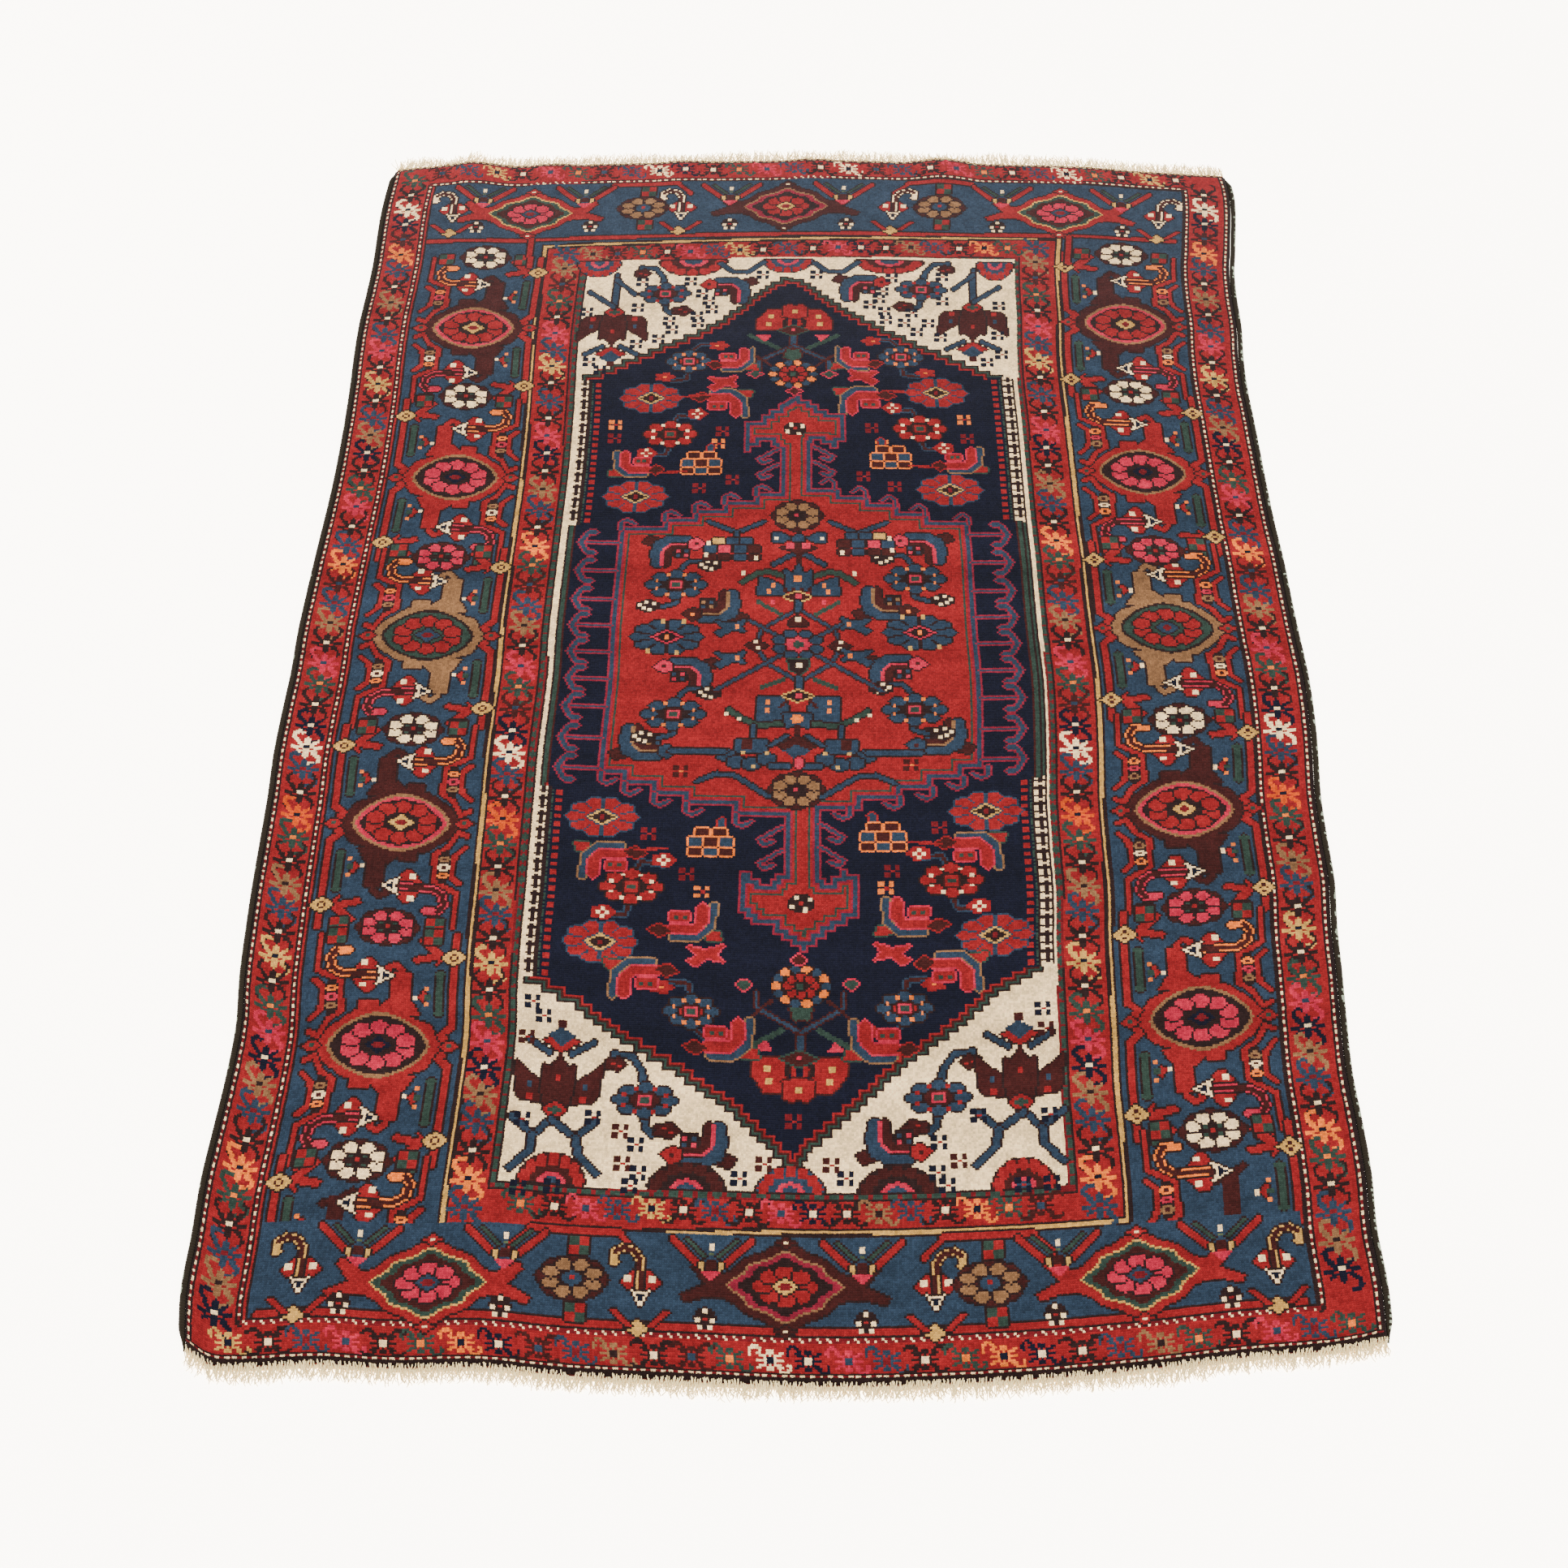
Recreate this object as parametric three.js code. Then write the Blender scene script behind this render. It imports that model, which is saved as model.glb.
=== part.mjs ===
// An oriental rug lying on a floor: one knotted pile cloth, an overcast cord along each side,
// and a fringe of warp ends at each end.
// Sizes are in millimetres. +X is the rug's right side, +Y its far end, +Z up, and the floor is at height 0.

import * as THREE from 'three';

const PILE_THICKNESS = 8;
const CORD_WIDTH = 8;
const CORD_HEIGHT = 7.5;
const CORD_SIDES = 8;
const PIECE_GAP = 0.3;
const PILE_INSET = CORD_WIDTH + PIECE_GAP;

// The cloth is divided more finely at its far end, where it ripples.
const COLUMNS = 44;
const PLAIN_ROWS = 26;
const RIPPLED_ROWS = 8;
const RIPPLED_SHARE = 0.11;

// Outline of the whole rug from above. A row is a place along an edge, and where the edge lies there.
const LEFT_EDGE = [
  { y: -1000, x: -645 },
  { y: -975, x: -653 },
  { y: -900, x: -653 },
  { y: -800, x: -655 },
  { y: -700, x: -650 },
  { y: -600, x: -647 },
  { y: -540, x: -653 },
  { y: -400, x: -659 },
  { y: -250, x: -661 },
  { y: -160, x: -664 },
  { y: -60, x: -661 },
  { y: 10, x: -662 },
  { y: 150, x: -658 },
  { y: 300, x: -652 },
  { y: 450, x: -652 },
  { y: 620, x: -657 },
  { y: 750, x: -653 },
  { y: 890, x: -655 },
  { y: 990, x: -650 },
];
const RIGHT_EDGE = [
  { y: -980, x: 649 },
  { y: -920, x: 651 },
  { y: -840, x: 648 },
  { y: -770, x: 651 },
  { y: -640, x: 646 },
  { y: -540, x: 650 },
  { y: -430, x: 654 },
  { y: -380, x: 658 },
  { y: -270, x: 656 },
  { y: -150, x: 663 },
  { y: -60, x: 664 },
  { y: 50, x: 658 },
  { y: 150, x: 654 },
  { y: 220, x: 649 },
  { y: 400, x: 642 },
  { y: 530, x: 638 },
  { y: 590, x: 642 },
  { y: 730, x: 643 },
  { y: 790, x: 650 },
  { y: 920, x: 660 },
  { y: 962, x: 655 },
];
const NEAR_EDGE = [
  { x: -645, y: -1000 },
  { x: -630, y: -1014 },
  { x: -605, y: -1020 },
  { x: -500, y: -1017 },
  { x: -420, y: -1021 },
  { x: -320, y: -1019 },
  { x: -240, y: -1027 },
  { x: -110, y: -1033 },
  { x: 50, y: -1038 },
  { x: 240, y: -1030 },
  { x: 370, y: -1018 },
  { x: 500, y: -1001 },
  { x: 600, y: -991 },
  { x: 649, y: -980 },
];
const FAR_EDGE = [
  { x: -650, y: 990 },
  { x: -600, y: 999 },
  { x: -520, y: 1002 },
  { x: -437, y: 999 },
  { x: -300, y: 1003 },
  { x: -130, y: 1007 },
  { x: 60, y: 1007 },
  { x: 250, y: 997 },
  { x: 440, y: 987 },
  { x: 520, y: 976 },
  { x: 655, y: 962 },
];

// Low ripples at the far end run lengthwise and die out towards the middle of the rug.
const RIPPLES = [
  { x: -520, height: 7, width: 110, reach: 160 },
  { x: -395, height: 4, width: 90, reach: 120 },
  { x: -190, height: 3, width: 100, reach: 120 },
  { x: 10, height: 4, width: 110, reach: 130 },
  { x: 215, height: 9, width: 130, reach: 200 },
];

// The fringe is locks of warp yarn that leave a narrow flat-woven strip.
const STRIP_WIDTH = 5;
const FRINGE_THICKNESS = 2.5;
const LOCKS = 130;
const LOCK_ROOT_WIDTH = 5;
const LOCK_TIP_WIDTH = 2.6;
const LOCK_LEAN = 4;
const LEAN_TURN = 1.7;
const NEAR_LOCK_LENGTH = 13;
const FAR_LOCK_LENGTH = 19;

// Waves along the row of locks make their lengths uneven. turn is the angle from lock to lock.
const LENGTH_WAVES = [
  { turn: 2.4, share: 0.22 },
  { turn: 0.9, share: 0.13 },
];

// Places where the fringe is longer or shorter than usual.
const NEAR_TUFTS = [
  { x: -560, extra: 3, width: 90 },
  { x: 60, extra: -3, width: 160 },
  { x: 410, extra: 4, width: 120 },
];
const FAR_TUFTS = [
  { x: -565, extra: -7, width: 40 },
  { x: -525, extra: 12, width: 40 },
  { x: -180, extra: -4, width: 120 },
  { x: 300, extra: 4, width: 90 },
];

const { lerp, smoothstep } = THREE.MathUtils;
const vector = (x, y) => new THREE.Vector2(x, y);

function fabric(color) {
  return new THREE.MeshStandardMaterial({ color, roughness: 0.95, metalness: 0 });
}

const pileWool = fabric(0x8c2f2e);
const cordWool = fabric(0x3a2522);
const warpCotton = fabric(0xe8dcc2);

// A smooth curve through an edge table, from a share of the way along the edge to the point there.
function edgeCurve(rows, place, value) {
  const places = rows.map((row) => row[place]);
  const values = rows.map((row) => row[value]);
  const curve = new THREE.CubicInterpolant(places, values, 1);
  return (share) => {
    const at = lerp(places[0], places[places.length - 1], share);
    const out = curve.evaluate(at)[0];
    return place === 'y' ? vector(out, at) : vector(at, out);
  };
}

const leftEdge = edgeCurve(LEFT_EDGE, 'y', 'x');
const rightEdge = edgeCurve(RIGHT_EDGE, 'y', 'x');
const nearEdge = edgeCurve(NEAR_EDGE, 'x', 'y');
const farEdge = edgeCurve(FAR_EDGE, 'x', 'y');

// The pile's own edges lie inside the side cords.
const pileLeft = (along) => leftEdge(along).add(vector(PILE_INSET, 0));
const pileRight = (along) => rightEdge(along).sub(vector(PILE_INSET, 0));
const insetAcross = (across) => vector(lerp(PILE_INSET, -PILE_INSET, across), 0);
const pileNear = (across) => nearEdge(across).add(insetAcross(across));
const pileFar = (across) => farEdge(across).add(insetAcross(across));

// A point of the pile seen from above. The cloth is stretched evenly between its four edges.
function pilePoint(across, along) {
  const point = vector(0, 0);
  point.addScaledVector(pileLeft(along), 1 - across);
  point.addScaledVector(pileRight(along), across);
  point.addScaledVector(pileNear(across), 1 - along);
  point.addScaledVector(pileFar(across), along);
  point.addScaledVector(pileLeft(0), -(1 - across) * (1 - along));
  point.addScaledVector(pileRight(0), -across * (1 - along));
  point.addScaledVector(pileLeft(1), -(1 - across) * along);
  point.addScaledVector(pileRight(1), -across * along);
  return point;
}

// One bump that is 1 at its middle and 0 from half its width on.
function bump(distance, width) {
  return 1 - smoothstep(Math.abs(distance), 0, width / 2);
}

// How far the ripples lift the cloth off the floor at a place, inward of the far edge.
function rippleLift(x, inward) {
  let lift = 0;
  for (const ripple of RIPPLES) {
    lift += ripple.height * bump(x - ripple.x, ripple.width) * bump(inward, 2 * ripple.reach);
  }
  return lift;
}

// Rows are close together over the rippled far end and wide apart elsewhere.
function rowShare(row) {
  const plainShare = 1 - RIPPLED_SHARE;
  if (row <= PLAIN_ROWS) return (plainShare * row) / PLAIN_ROWS;
  return plainShare + (RIPPLED_SHARE * (row - PLAIN_ROWS)) / RIPPLED_ROWS;
}

// Moves each point of a geometry by a function that writes to the point.
function reshape(geometry, move) {
  const places = geometry.attributes.position;
  const point = new THREE.Vector3();
  for (let i = 0; i < places.count; i += 1) {
    point.fromBufferAttribute(places, i);
    move(point);
    places.setXYZ(i, point.x, point.y, point.z);
  }
  geometry.computeVertexNormals();
  return geometry;
}

// The knotted cloth, one solid with its uneven outline and its ripples.
function pileBody() {
  const rows = PLAIN_ROWS + RIPPLED_ROWS;
  const slab = new THREE.BoxGeometry(1, 1, 1, COLUMNS, rows, 1);
  return reshape(slab, (point) => {
    const across = point.x + 0.5;
    const along = rowShare(Math.round((point.y + 0.5) * rows));
    const place = pilePoint(across, along);
    const lift = rippleLift(place.x, pileFar(across).y - place.y);
    point.set(place.x, place.y, lift + (point.z + 0.5) * PILE_THICKNESS);
  });
}

// An overcast cord along one side, with a flat underside.
function sideCord(edge, inward) {
  const rows = PLAIN_ROWS + RIPPLED_ROWS;
  const flatTurn = Math.PI / CORD_SIDES;
  const flatRadius = Math.cos(flatTurn);
  const rod = new THREE.CylinderGeometry(1, 1, 1, CORD_SIDES, rows, false, flatTurn);
  return reshape(rod, (point) => {
    const place = edge(rowShare(Math.round((point.y + 0.5) * rows)));
    const across = point.x / flatRadius / 2;
    const up = point.z / flatRadius / 2 + 0.5;
    point.set(place.x + inward * CORD_WIDTH / 2 + across * CORD_WIDTH, place.y, up * CORD_HEIGHT);
  });
}

function lockLength(index, x, usual, tufts) {
  let length = usual;
  for (const wave of LENGTH_WAVES) {
    length += usual * wave.share * Math.sin(index * wave.turn);
  }
  for (const tuft of tufts) {
    length += tuft.extra * bump(x - tuft.x, tuft.width);
  }
  return length;
}

// One lock as four corners of the comb, from its root's right side round to its left.
function lockCorners(root, lean, reach) {
  const halfRoot = vector(LOCK_ROOT_WIDTH / 2, 0);
  const halfTip = vector(LOCK_TIP_WIDTH / 2, 0);
  const tip = root.clone().add(vector(lean, reach));
  return [
    root.clone().add(halfRoot),
    tip.clone().add(halfTip),
    tip.clone().sub(halfTip),
    root.clone().sub(halfRoot),
  ];
}

// A strip with its locks, cut as one comb. outward is 1 at the far end and -1 at the near end.
function fringe(edge, outward, usual, tufts) {
  const outline = [];
  for (let column = 0; column <= COLUMNS; column += 1) {
    outline.push(edge(column / COLUMNS).add(vector(0, outward * PIECE_GAP)));
  }
  const stripOut = vector(0, outward * (PIECE_GAP + STRIP_WIDTH));
  for (let index = LOCKS - 1; index >= 0; index -= 1) {
    const root = edge((index + 0.5) / LOCKS).add(stripOut);
    const reach = outward * lockLength(index, root.x, usual, tufts);
    const lean = LOCK_LEAN * Math.sin(index * LEAN_TURN);
    outline.push(...lockCorners(root, lean, reach));
  }
  const solid = { depth: FRINGE_THICKNESS, bevelEnabled: false, steps: 1 };
  return new THREE.ExtrudeGeometry(new THREE.Shape(outline), solid);
}

// The far strip rides up over the ripples, and its locks' tips fall back to the floor.
function rideRipples(comb) {
  const start = pileFar(0).x;
  const end = pileFar(1).x;
  return reshape(comb, (point) => {
    const edgeY = pileFar((point.x - start) / (end - start)).y;
    const isTip = point.y - edgeY > 2 * STRIP_WIDTH;
    if (!isTip) point.z += rippleLift(point.x, 0);
  });
}

const rug = new THREE.Group();

function add(name, geometry, material) {
  const mesh = new THREE.Mesh(geometry, material);
  mesh.name = name;
  rug.add(mesh);
}

add('pile_body', pileBody(), pileWool);
add('selvedge_left', sideCord(leftEdge, 1), cordWool);
add('selvedge_right', sideCord(rightEdge, -1), cordWool);
add('fringe_near', fringe(pileNear, -1, NEAR_LOCK_LENGTH, NEAR_TUFTS), warpCotton);
add('fringe_far', rideRipples(fringe(pileFar, 1, FAR_LOCK_LENGTH, FAR_TUFTS)), warpCotton);

// The origin is on the floor, under the middle of the rug's box.
const middle = new THREE.Box3().setFromObject(rug).getCenter(new THREE.Vector3());
rug.position.set(-middle.x, -middle.y, 0);

export default rug;
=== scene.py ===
import math
import random

import bmesh
import bpy
import numpy as np
from mathutils import Matrix


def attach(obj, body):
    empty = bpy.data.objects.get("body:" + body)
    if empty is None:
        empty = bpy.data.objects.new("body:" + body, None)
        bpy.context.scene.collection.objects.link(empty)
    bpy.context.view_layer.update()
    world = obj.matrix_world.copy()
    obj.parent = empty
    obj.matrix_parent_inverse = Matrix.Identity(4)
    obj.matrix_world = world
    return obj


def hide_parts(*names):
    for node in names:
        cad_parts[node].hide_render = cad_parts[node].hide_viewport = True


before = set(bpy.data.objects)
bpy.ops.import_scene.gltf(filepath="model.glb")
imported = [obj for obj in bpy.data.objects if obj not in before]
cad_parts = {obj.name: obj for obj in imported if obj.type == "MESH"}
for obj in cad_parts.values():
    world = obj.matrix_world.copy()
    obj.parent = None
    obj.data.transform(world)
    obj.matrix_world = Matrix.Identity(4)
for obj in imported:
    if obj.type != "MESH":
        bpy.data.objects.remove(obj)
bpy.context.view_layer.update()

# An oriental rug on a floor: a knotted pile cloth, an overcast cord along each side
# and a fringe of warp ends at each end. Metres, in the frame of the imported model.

# The chart of the pile: columns of knots from left to right, rows of knots from the far end.
COLUMNS = 478
ROWS = 742
KNOTS_PER_FACE = 2


# The dyes, in everyday 0 to 255 values

DYES = (
    ("back", 70, 8, 14),
    ("red", 119, 22, 24),
    ("crimson", 92, 17, 22),
    ("vermilion", 142, 28, 16),
    ("pink", 160, 28, 50),
    ("rose", 110, 22, 38),
    ("maroon", 50, 18, 16),
    ("dark", 32, 18, 17),
    ("navy", 13, 14, 27),
    ("blue", 33, 45, 59),
    ("green", 36, 50, 42),
    ("sage", 64, 72, 50),
    ("camel", 112, 78, 50),
    ("straw", 172, 128, 62),
    ("peach", 206, 98, 28),
    ("orange", 180, 62, 10),
    ("ivory", 230, 194, 142),
)
RAMP_STOPS = 32
DYE_NUMBERS = {dye[0]: number for number, dye in enumerate(DYES)}


def dye_share(number):
    """Where a dye stands on the colour ramp."""
    return (number + 0.5) / RAMP_STOPS


def soft_step(values):
    """0 up to 0, 1 from 1 on, and a smooth rise between."""
    share = np.clip(values, 0, 1)
    return share * share * (3 - 2 * share)


# Drawing on the chart. Places are columns and rows of knots, counted from inside the far left corner.
# A dye that is given last is that of the thin edge round a shape.

FIRST_KNOT = (1, 1.5)
PETAL_STRETCH = 1.15


def inside_outline(columns, rows, points):
    inside = np.zeros(columns.shape, dtype=bool)
    for (x0, y0), (x1, y1) in zip(points, np.roll(points, -1, axis=0)):
        if y0 == y1:
            continue
        crosses = (y0 > rows) != (y1 > rows)
        inside ^= crosses & (columns < x0 + (rows - y0) / (y1 - y0) * (x1 - x0))
    return inside


def near_line(columns, rows, points, width):
    near = np.zeros(columns.shape, dtype=bool)
    for (x0, y0), (x1, y1) in zip(points[:-1], points[1:]):
        dx, dy = x1 - x0, y1 - y0
        share = ((columns - x0) * dx + (rows - y0) * dy) / max(dx * dx + dy * dy, 1e-9)
        share = np.clip(share, 0, 1)
        near |= np.hypot(columns - x0 - share * dx, rows - y0 - share * dy) <= width / 2
    return near


def arc(x, y, rx, ry, start=0, end=360, petals=0, depth=0.0, count=40):
    """Points round an oval, waved into petals where asked. Angles go from the right downwards."""
    points = []
    for index in range(count + 1):
        turn = math.radians(start + (end - start) * index / count)
        size = 1 + depth * math.cos(petals * turn)
        points.append((x + rx * size * math.cos(turn), y + ry * size * math.sin(turn)))
    return points


class Pen:
    """Draws in knots from a middle of its own, and may mirror its motifs or turn them on their side."""

    def __init__(self, chart, x=0, y=0, across=1, down=1, turned=False):
        self.chart = chart
        self.middle = np.array((x, y)) + FIRST_KNOT
        self.flips = np.array((across, down))
        self.turned = turned

    def window(self, points, margin):
        points = np.asarray(points, dtype=float)
        if self.turned:
            points = points[:, ::-1]
        points = points * self.flips + self.middle
        low = np.maximum(np.floor(points.min(axis=0) - margin).astype(int), 0)
        high = np.minimum(np.ceil(points.max(axis=0) + margin).astype(int) + 1, (COLUMNS, ROWS))
        columns, rows = np.meshgrid(np.arange(low[0], high[0]) + 0.5, np.arange(low[1], high[1]) + 0.5)
        return self.chart[low[1]:high[1], low[0]:high[0]], columns, rows, points

    def paint(self, part, mask, dye, edge):
        if edge:
            grown = mask.copy()
            grown[1:] |= mask[:-1]
            grown[:-1] |= mask[1:]
            grown[:, 1:] |= mask[:, :-1]
            grown[:, :-1] |= mask[:, 1:]
            part[grown & ~mask] = DYE_NUMBERS[edge]
        part[mask] = DYE_NUMBERS[dye]

    def shape(self, points, dye, edge="dark"):
        part, columns, rows, placed = self.window(points, 2)
        self.paint(part, inside_outline(columns, rows, placed), dye, edge)

    def line(self, points, width, dye, edge="dark"):
        part, columns, rows, placed = self.window(points, width / 2 + 2)
        self.paint(part, near_line(columns, rows, placed, width), dye, edge)

    def oval(self, x, y, rx, ry, dye, edge="dark", petals=0, depth=0.0):
        self.shape(arc(x, y, rx, ry, petals=petals, depth=depth), dye, edge)

    def lozenge(self, x, y, rx, ry, dye, edge="dark"):
        self.shape(((x - rx, y), (x, y - ry), (x + rx, y), (x, y + ry)), dye, edge)

    def box(self, x0, y0, x1, y1, dye, edge=None):
        self.shape(((x0, y0), (x1, y0), (x1, y1), (x0, y1)), dye, edge)

    def dot(self, x, y, dye, size=2.0):
        self.box(x - size / 2, y - size / 2, x + size / 2, y + size / 2, dye)

    def dots(self, places, dye, size=2.0):
        for x, y in places:
            self.dot(x, y, dye, size)

    def ring(self, y, rx, ry, count, petal, start=0.0, reach=0.67, size=0.23):
        """Petals round a middle. start is the angle of the first one."""
        for index in range(count):
            turn = math.radians(start + 360 * index / count)
            place = (reach * rx * math.cos(turn), y + reach * ry * math.sin(turn))
            self.oval(*place, size * rx, size * ry * PETAL_STRETCH, petal)

    def rosette(self, rx, ry, petal, middle, seed):
        """A wide scalloped maroon flower of eight separate petals round a small middle."""
        self.oval(0, 0, rx, ry, "maroon", petals=8, depth=0.05)
        self.ring(0, rx, ry, 8, petal, start=22.5)
        self.oval(0, 0, rx * 0.3, ry * 0.32, middle)
        self.dot(0, 0, seed)

    def stencil(self, rows, dyes):
        """A small motif, charted as one letter for each knot."""
        middle_x = (len(rows[0]) - 1) / 2
        middle_y = (len(rows) - 1) / 2
        for down, row in enumerate(rows):
            for across, letter in enumerate(row):
                if letter in dyes:
                    self.dot(across - middle_x, down - middle_y, dyes[letter], 1)


# Guard borders: star flowers along a red ground

STAR = (
    ".......#.......",
    "......###......",
    "..#...###...#..",
    "..###.###.###..",
    "...#########...",
    "....##ooo##....",
    "######ooo######",
    "####..###..####",
    "...#########...",
    "..###.###.###..",
    "..#...###...#..",
    "......###......",
    ".......#.......",
)
LOW_STAR = (
    "....###....",
    "##..###..##",
    ".###.#.###.",
    "...#ooo#...",
    "####ooo####",
    "...#ooo#...",
    ".###.#.###.",
    "##..###..##",
    "....###....",
)
TENDRIL = ((-4, -4), (-6.3, -6), (-6.5, -8), (-4.6, -9.6), (-2.6, -9.2))
DARK_ARC = ((-3, -3), (-6.2, -5.4), (-6.6, -8), (-5, -10))
STAR_MIDDLES = {
    "dark": "ivory", "maroon": "blue", "navy": "ivory", "ivory": "navy", "straw": "navy", "camel": "dark",
    "peach": "navy", "orange": "navy", "pink": "blue", "green": "peach", "blue": "crimson",
}


def star_flower(chart, x, y, dye, rows=STAR, turned=False):
    """An eight-rayed star. A coloured one has two tendrils, a dark one has four arcs round red lobes."""
    pen = Pen(chart, x, y, turned=turned)
    is_dark = dye in ("dark", "maroon")
    curl, width = (DARK_ARC, 1.5) if is_dark else (TENDRIL, 1.3 if turned else 2.0)
    reach = 0.85 if turned else 1
    ends = ((1, 1), (-1, -1), (1, -1), (-1, 1)) if is_dark else ((1, 1), (-1, -1))
    for across, down in ends:
        pen.line([(px * across * reach, py * down * reach) for px, py in curl], width, dye, None)
    Pen(chart, x, y).stencil(rows, {"#": dye, "o": STAR_MIDDLES[dye]})


# The order of the stars along a side, from the far end. It repeats with small changes.
SIDE_STARS = (
    "green dark ivory navy maroon peach blue dark camel dark blue pink dark straw dark blue camel navy dark "
    "green pink dark blue peach maroon blue camel dark pink green dark navy ivory blue dark orange green dark "
    "camel blue dark straw dark green pink navy camel blue dark peach green dark blue camel navy"
).split()
INNER_STARS = (
    "blue camel maroon green dark pink blue straw dark blue dark pink navy dark camel blue dark peach green "
    "maroon blue camel dark pink green maroon navy ivory blue dark orange green dark camel blue dark straw "
    "dark green pink navy camel blue dark peach blue"
).split()
FAR_STARS = (
    "maroon blue straw dark pink green maroon blue ivory navy dark green pink blue dark ivory maroon blue "
    "dark pink green dark blue ivory green dark straw dark"
).split()
NEAR_STARS = (
    "straw dark blue pink dark green peach navy maroon blue camel dark maroon green ivory navy pink blue "
    "dark green peach navy dark blue camel green dark pink blue green"
).split()


def stars_between(chart, names, start, end, rows=STAR, turned=False):
    """Stars at even steps on the line from start to end."""
    steps = len(names) - 1
    for index, dye in enumerate(names):
        x, y = [low + (high - low) * (index / steps) for low, high in zip(start, end)]
        star_flower(chart, x, y, dye, rows, turned)


# Stripes beside the guards: ivory and crimson dashes between dark lines, and green dashes on crimson.

DARK_LINE = 2.8
BARBER_LINE = 1.2
BARBER_STEP = 3.7
CHECK_LINE = 2.4
CHECK_DASH = 2.2
CHECK_STEP = 6

# Half of one slanting dash on the left, on the right and along the ends.
LEFT_SLANT = (0.2, 0.4)
RIGHT_SLANT = (0.2, -0.4)
END_SLANT = (0.5, 0.1)
BARBER_STRIPES = (
    ((0.4, 0), (0.4, 738), LEFT_SLANT),
    ((474.5, 0), (474.5, 738), RIGHT_SLANT),
    ((0, 0.2), (475, 0.2), END_SLANT),
    ((0, 736.8), (475, 736.8), END_SLANT),
    ((21.8, 17), (21.8, 722), LEFT_SLANT),
    ((452.4, 14), (452.4, 722), RIGHT_SLANT),
    ((22, 17), (452, 14), END_SLANT),
    ((22, 721.5), (452, 721.5), END_SLANT),
)
CHECKED_STRIPES = (
    ((116.5, 90), (118, 660)),
    ((358.6, 83), (357, 659)),
    ((117, 88.5), (359, 82)),
    ((118, 660.5), (357, 659)),
)


def barber_stripe(pen, start, end, slant):
    length = math.dist(start, end)
    along = ((end[0] - start[0]) / length, (end[1] - start[1]) / length)
    pen.line((start, end), DARK_LINE, "dark", None)
    pen.line((start, end), BARBER_LINE, "crimson", None)
    for step in range(int(length / BARBER_STEP)):
        place = (step + 0.5) * BARBER_STEP
        x = start[0] + along[0] * place
        y = start[1] + along[1] * place
        pen.line(((x - slant[0], y - slant[1]), (x + slant[0], y + slant[1])), 1, "ivory", None)


def checked_stripe(pen, start, end):
    length = math.dist(start, end)
    pen.line((start, end), CHECK_LINE, "crimson", None)
    for step in range(int(length / CHECK_STEP)):
        near = (step + 0.3) * CHECK_STEP / length
        far = near + 0.4 * CHECK_STEP / length
        dash = [[a + (b - a) * share for a, b in zip(start, end)] for share in (near, far)]
        pen.line(dash, CHECK_DASH, "green", None)


# Main border: medallions on blue, each with botehs, hands, brackets and a vine.
# Places round a medallion are u to its arm side and v along the border.

ALMOND_POINTS = 64
MEDALLIONS = {
    "maroon": {
        "body": "maroon", "rim": "camel", "ring": "pink",
        "inside": "dark", "petal": "red", "seed": "straw",
    },
    "red": {
        "body": "red", "rim": "camel", "ring": "dark",
        "inside": "dark", "petal": "pink", "seed": "navy",
    },
    "camel": {
        "body": "camel", "rim": "dark", "ring": "green",
        "inside": "green", "petal": "red", "seed": "blue",
    },
}


def boteh(pen, x, y, down, line, size=1.0):
    """A hooked leaf that grows from a tulip, through a lozenge flower, and turns back on itself."""
    def at(points):
        return [(x + px * size, y + py * down * size) for px, py in points]
    pen.shape(at(((-1, -9), (-8, 0), (-1, 9), (2, 9), (8, 0), (2, -9))), "red")
    band = at(((7, 0), (-4, -0.5), (-11, -1), (-15.5, -4), (-17, -9.5), (-14.5, -13.5), (-9, -13)))
    pen.line(band, 3.8 * size, line)
    pen.line(band[:6], 2.4 * size, "maroon", None)
    pen.dots(at(((-1.5, -6.3), (-1.5, 5.2))), "ivory", 2.6)
    pen.shape(at(((13, 0), (4, -5), (6, 0), (4, 5))), "ivory")
    pen.shape(at(((11, 0), (6.5, -2.6), (7, 0), (6.5, 2.6))), "navy", None)


def hand(pen, x, y, down):
    """A red leaf with fingers, growing from a small checked flower on the vine."""
    fingers = ((-4, -1), (-8, -5), (-7, -1), (-17, -3), (-18, 0), (-10, 2), (-16, 9), (-14, 11), (-6, 4))
    pen.shape([(x + px, y + py * down) for px, py in fingers], "red")
    pen.lozenge(x, y, 5.5, 4.8, "straw")
    pen.dots(((x - 1.5, y), (x + 1.5, y), (x, y - 1.6), (x, y + 1.6)), "maroon", 1.4)


def check_square(pen, x, y):
    pen.box(x - 4, y - 4, x + 4, y + 4, "red", "dark")
    pen.box(x - 4, y - 4, x, y, "green")
    pen.box(x, y, x + 4, y + 4, "green")


def bracket(pen, v, seed):
    """The bent vine on the plain side of a medallion, round three small flowers. v is up or down."""
    vine = ((-29, 57), (-29, 39), (-18, 32), (-17.5, 17), (-23, 13), (-27, 5), (-31, 7))
    pen.line([(u, down * v) for u, down in vine], 2.4, "red")
    pen.line(((-30, 34 * v), (-26, 30 * v), (-26.5, 18 * v), (-31, 13 * v)), 2.2, "red")
    pen.line(((-22, 18 * v), (-22, 31 * v)), 5, "dark", None)
    for down, dye in ((20, "camel"), (24.5, seed), (29, "peach")):
        pen.oval(-22, down * v, 2.6, 1.9, dye, None)
        pen.dot(-22, down * v, "maroon", 1.3)


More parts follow.
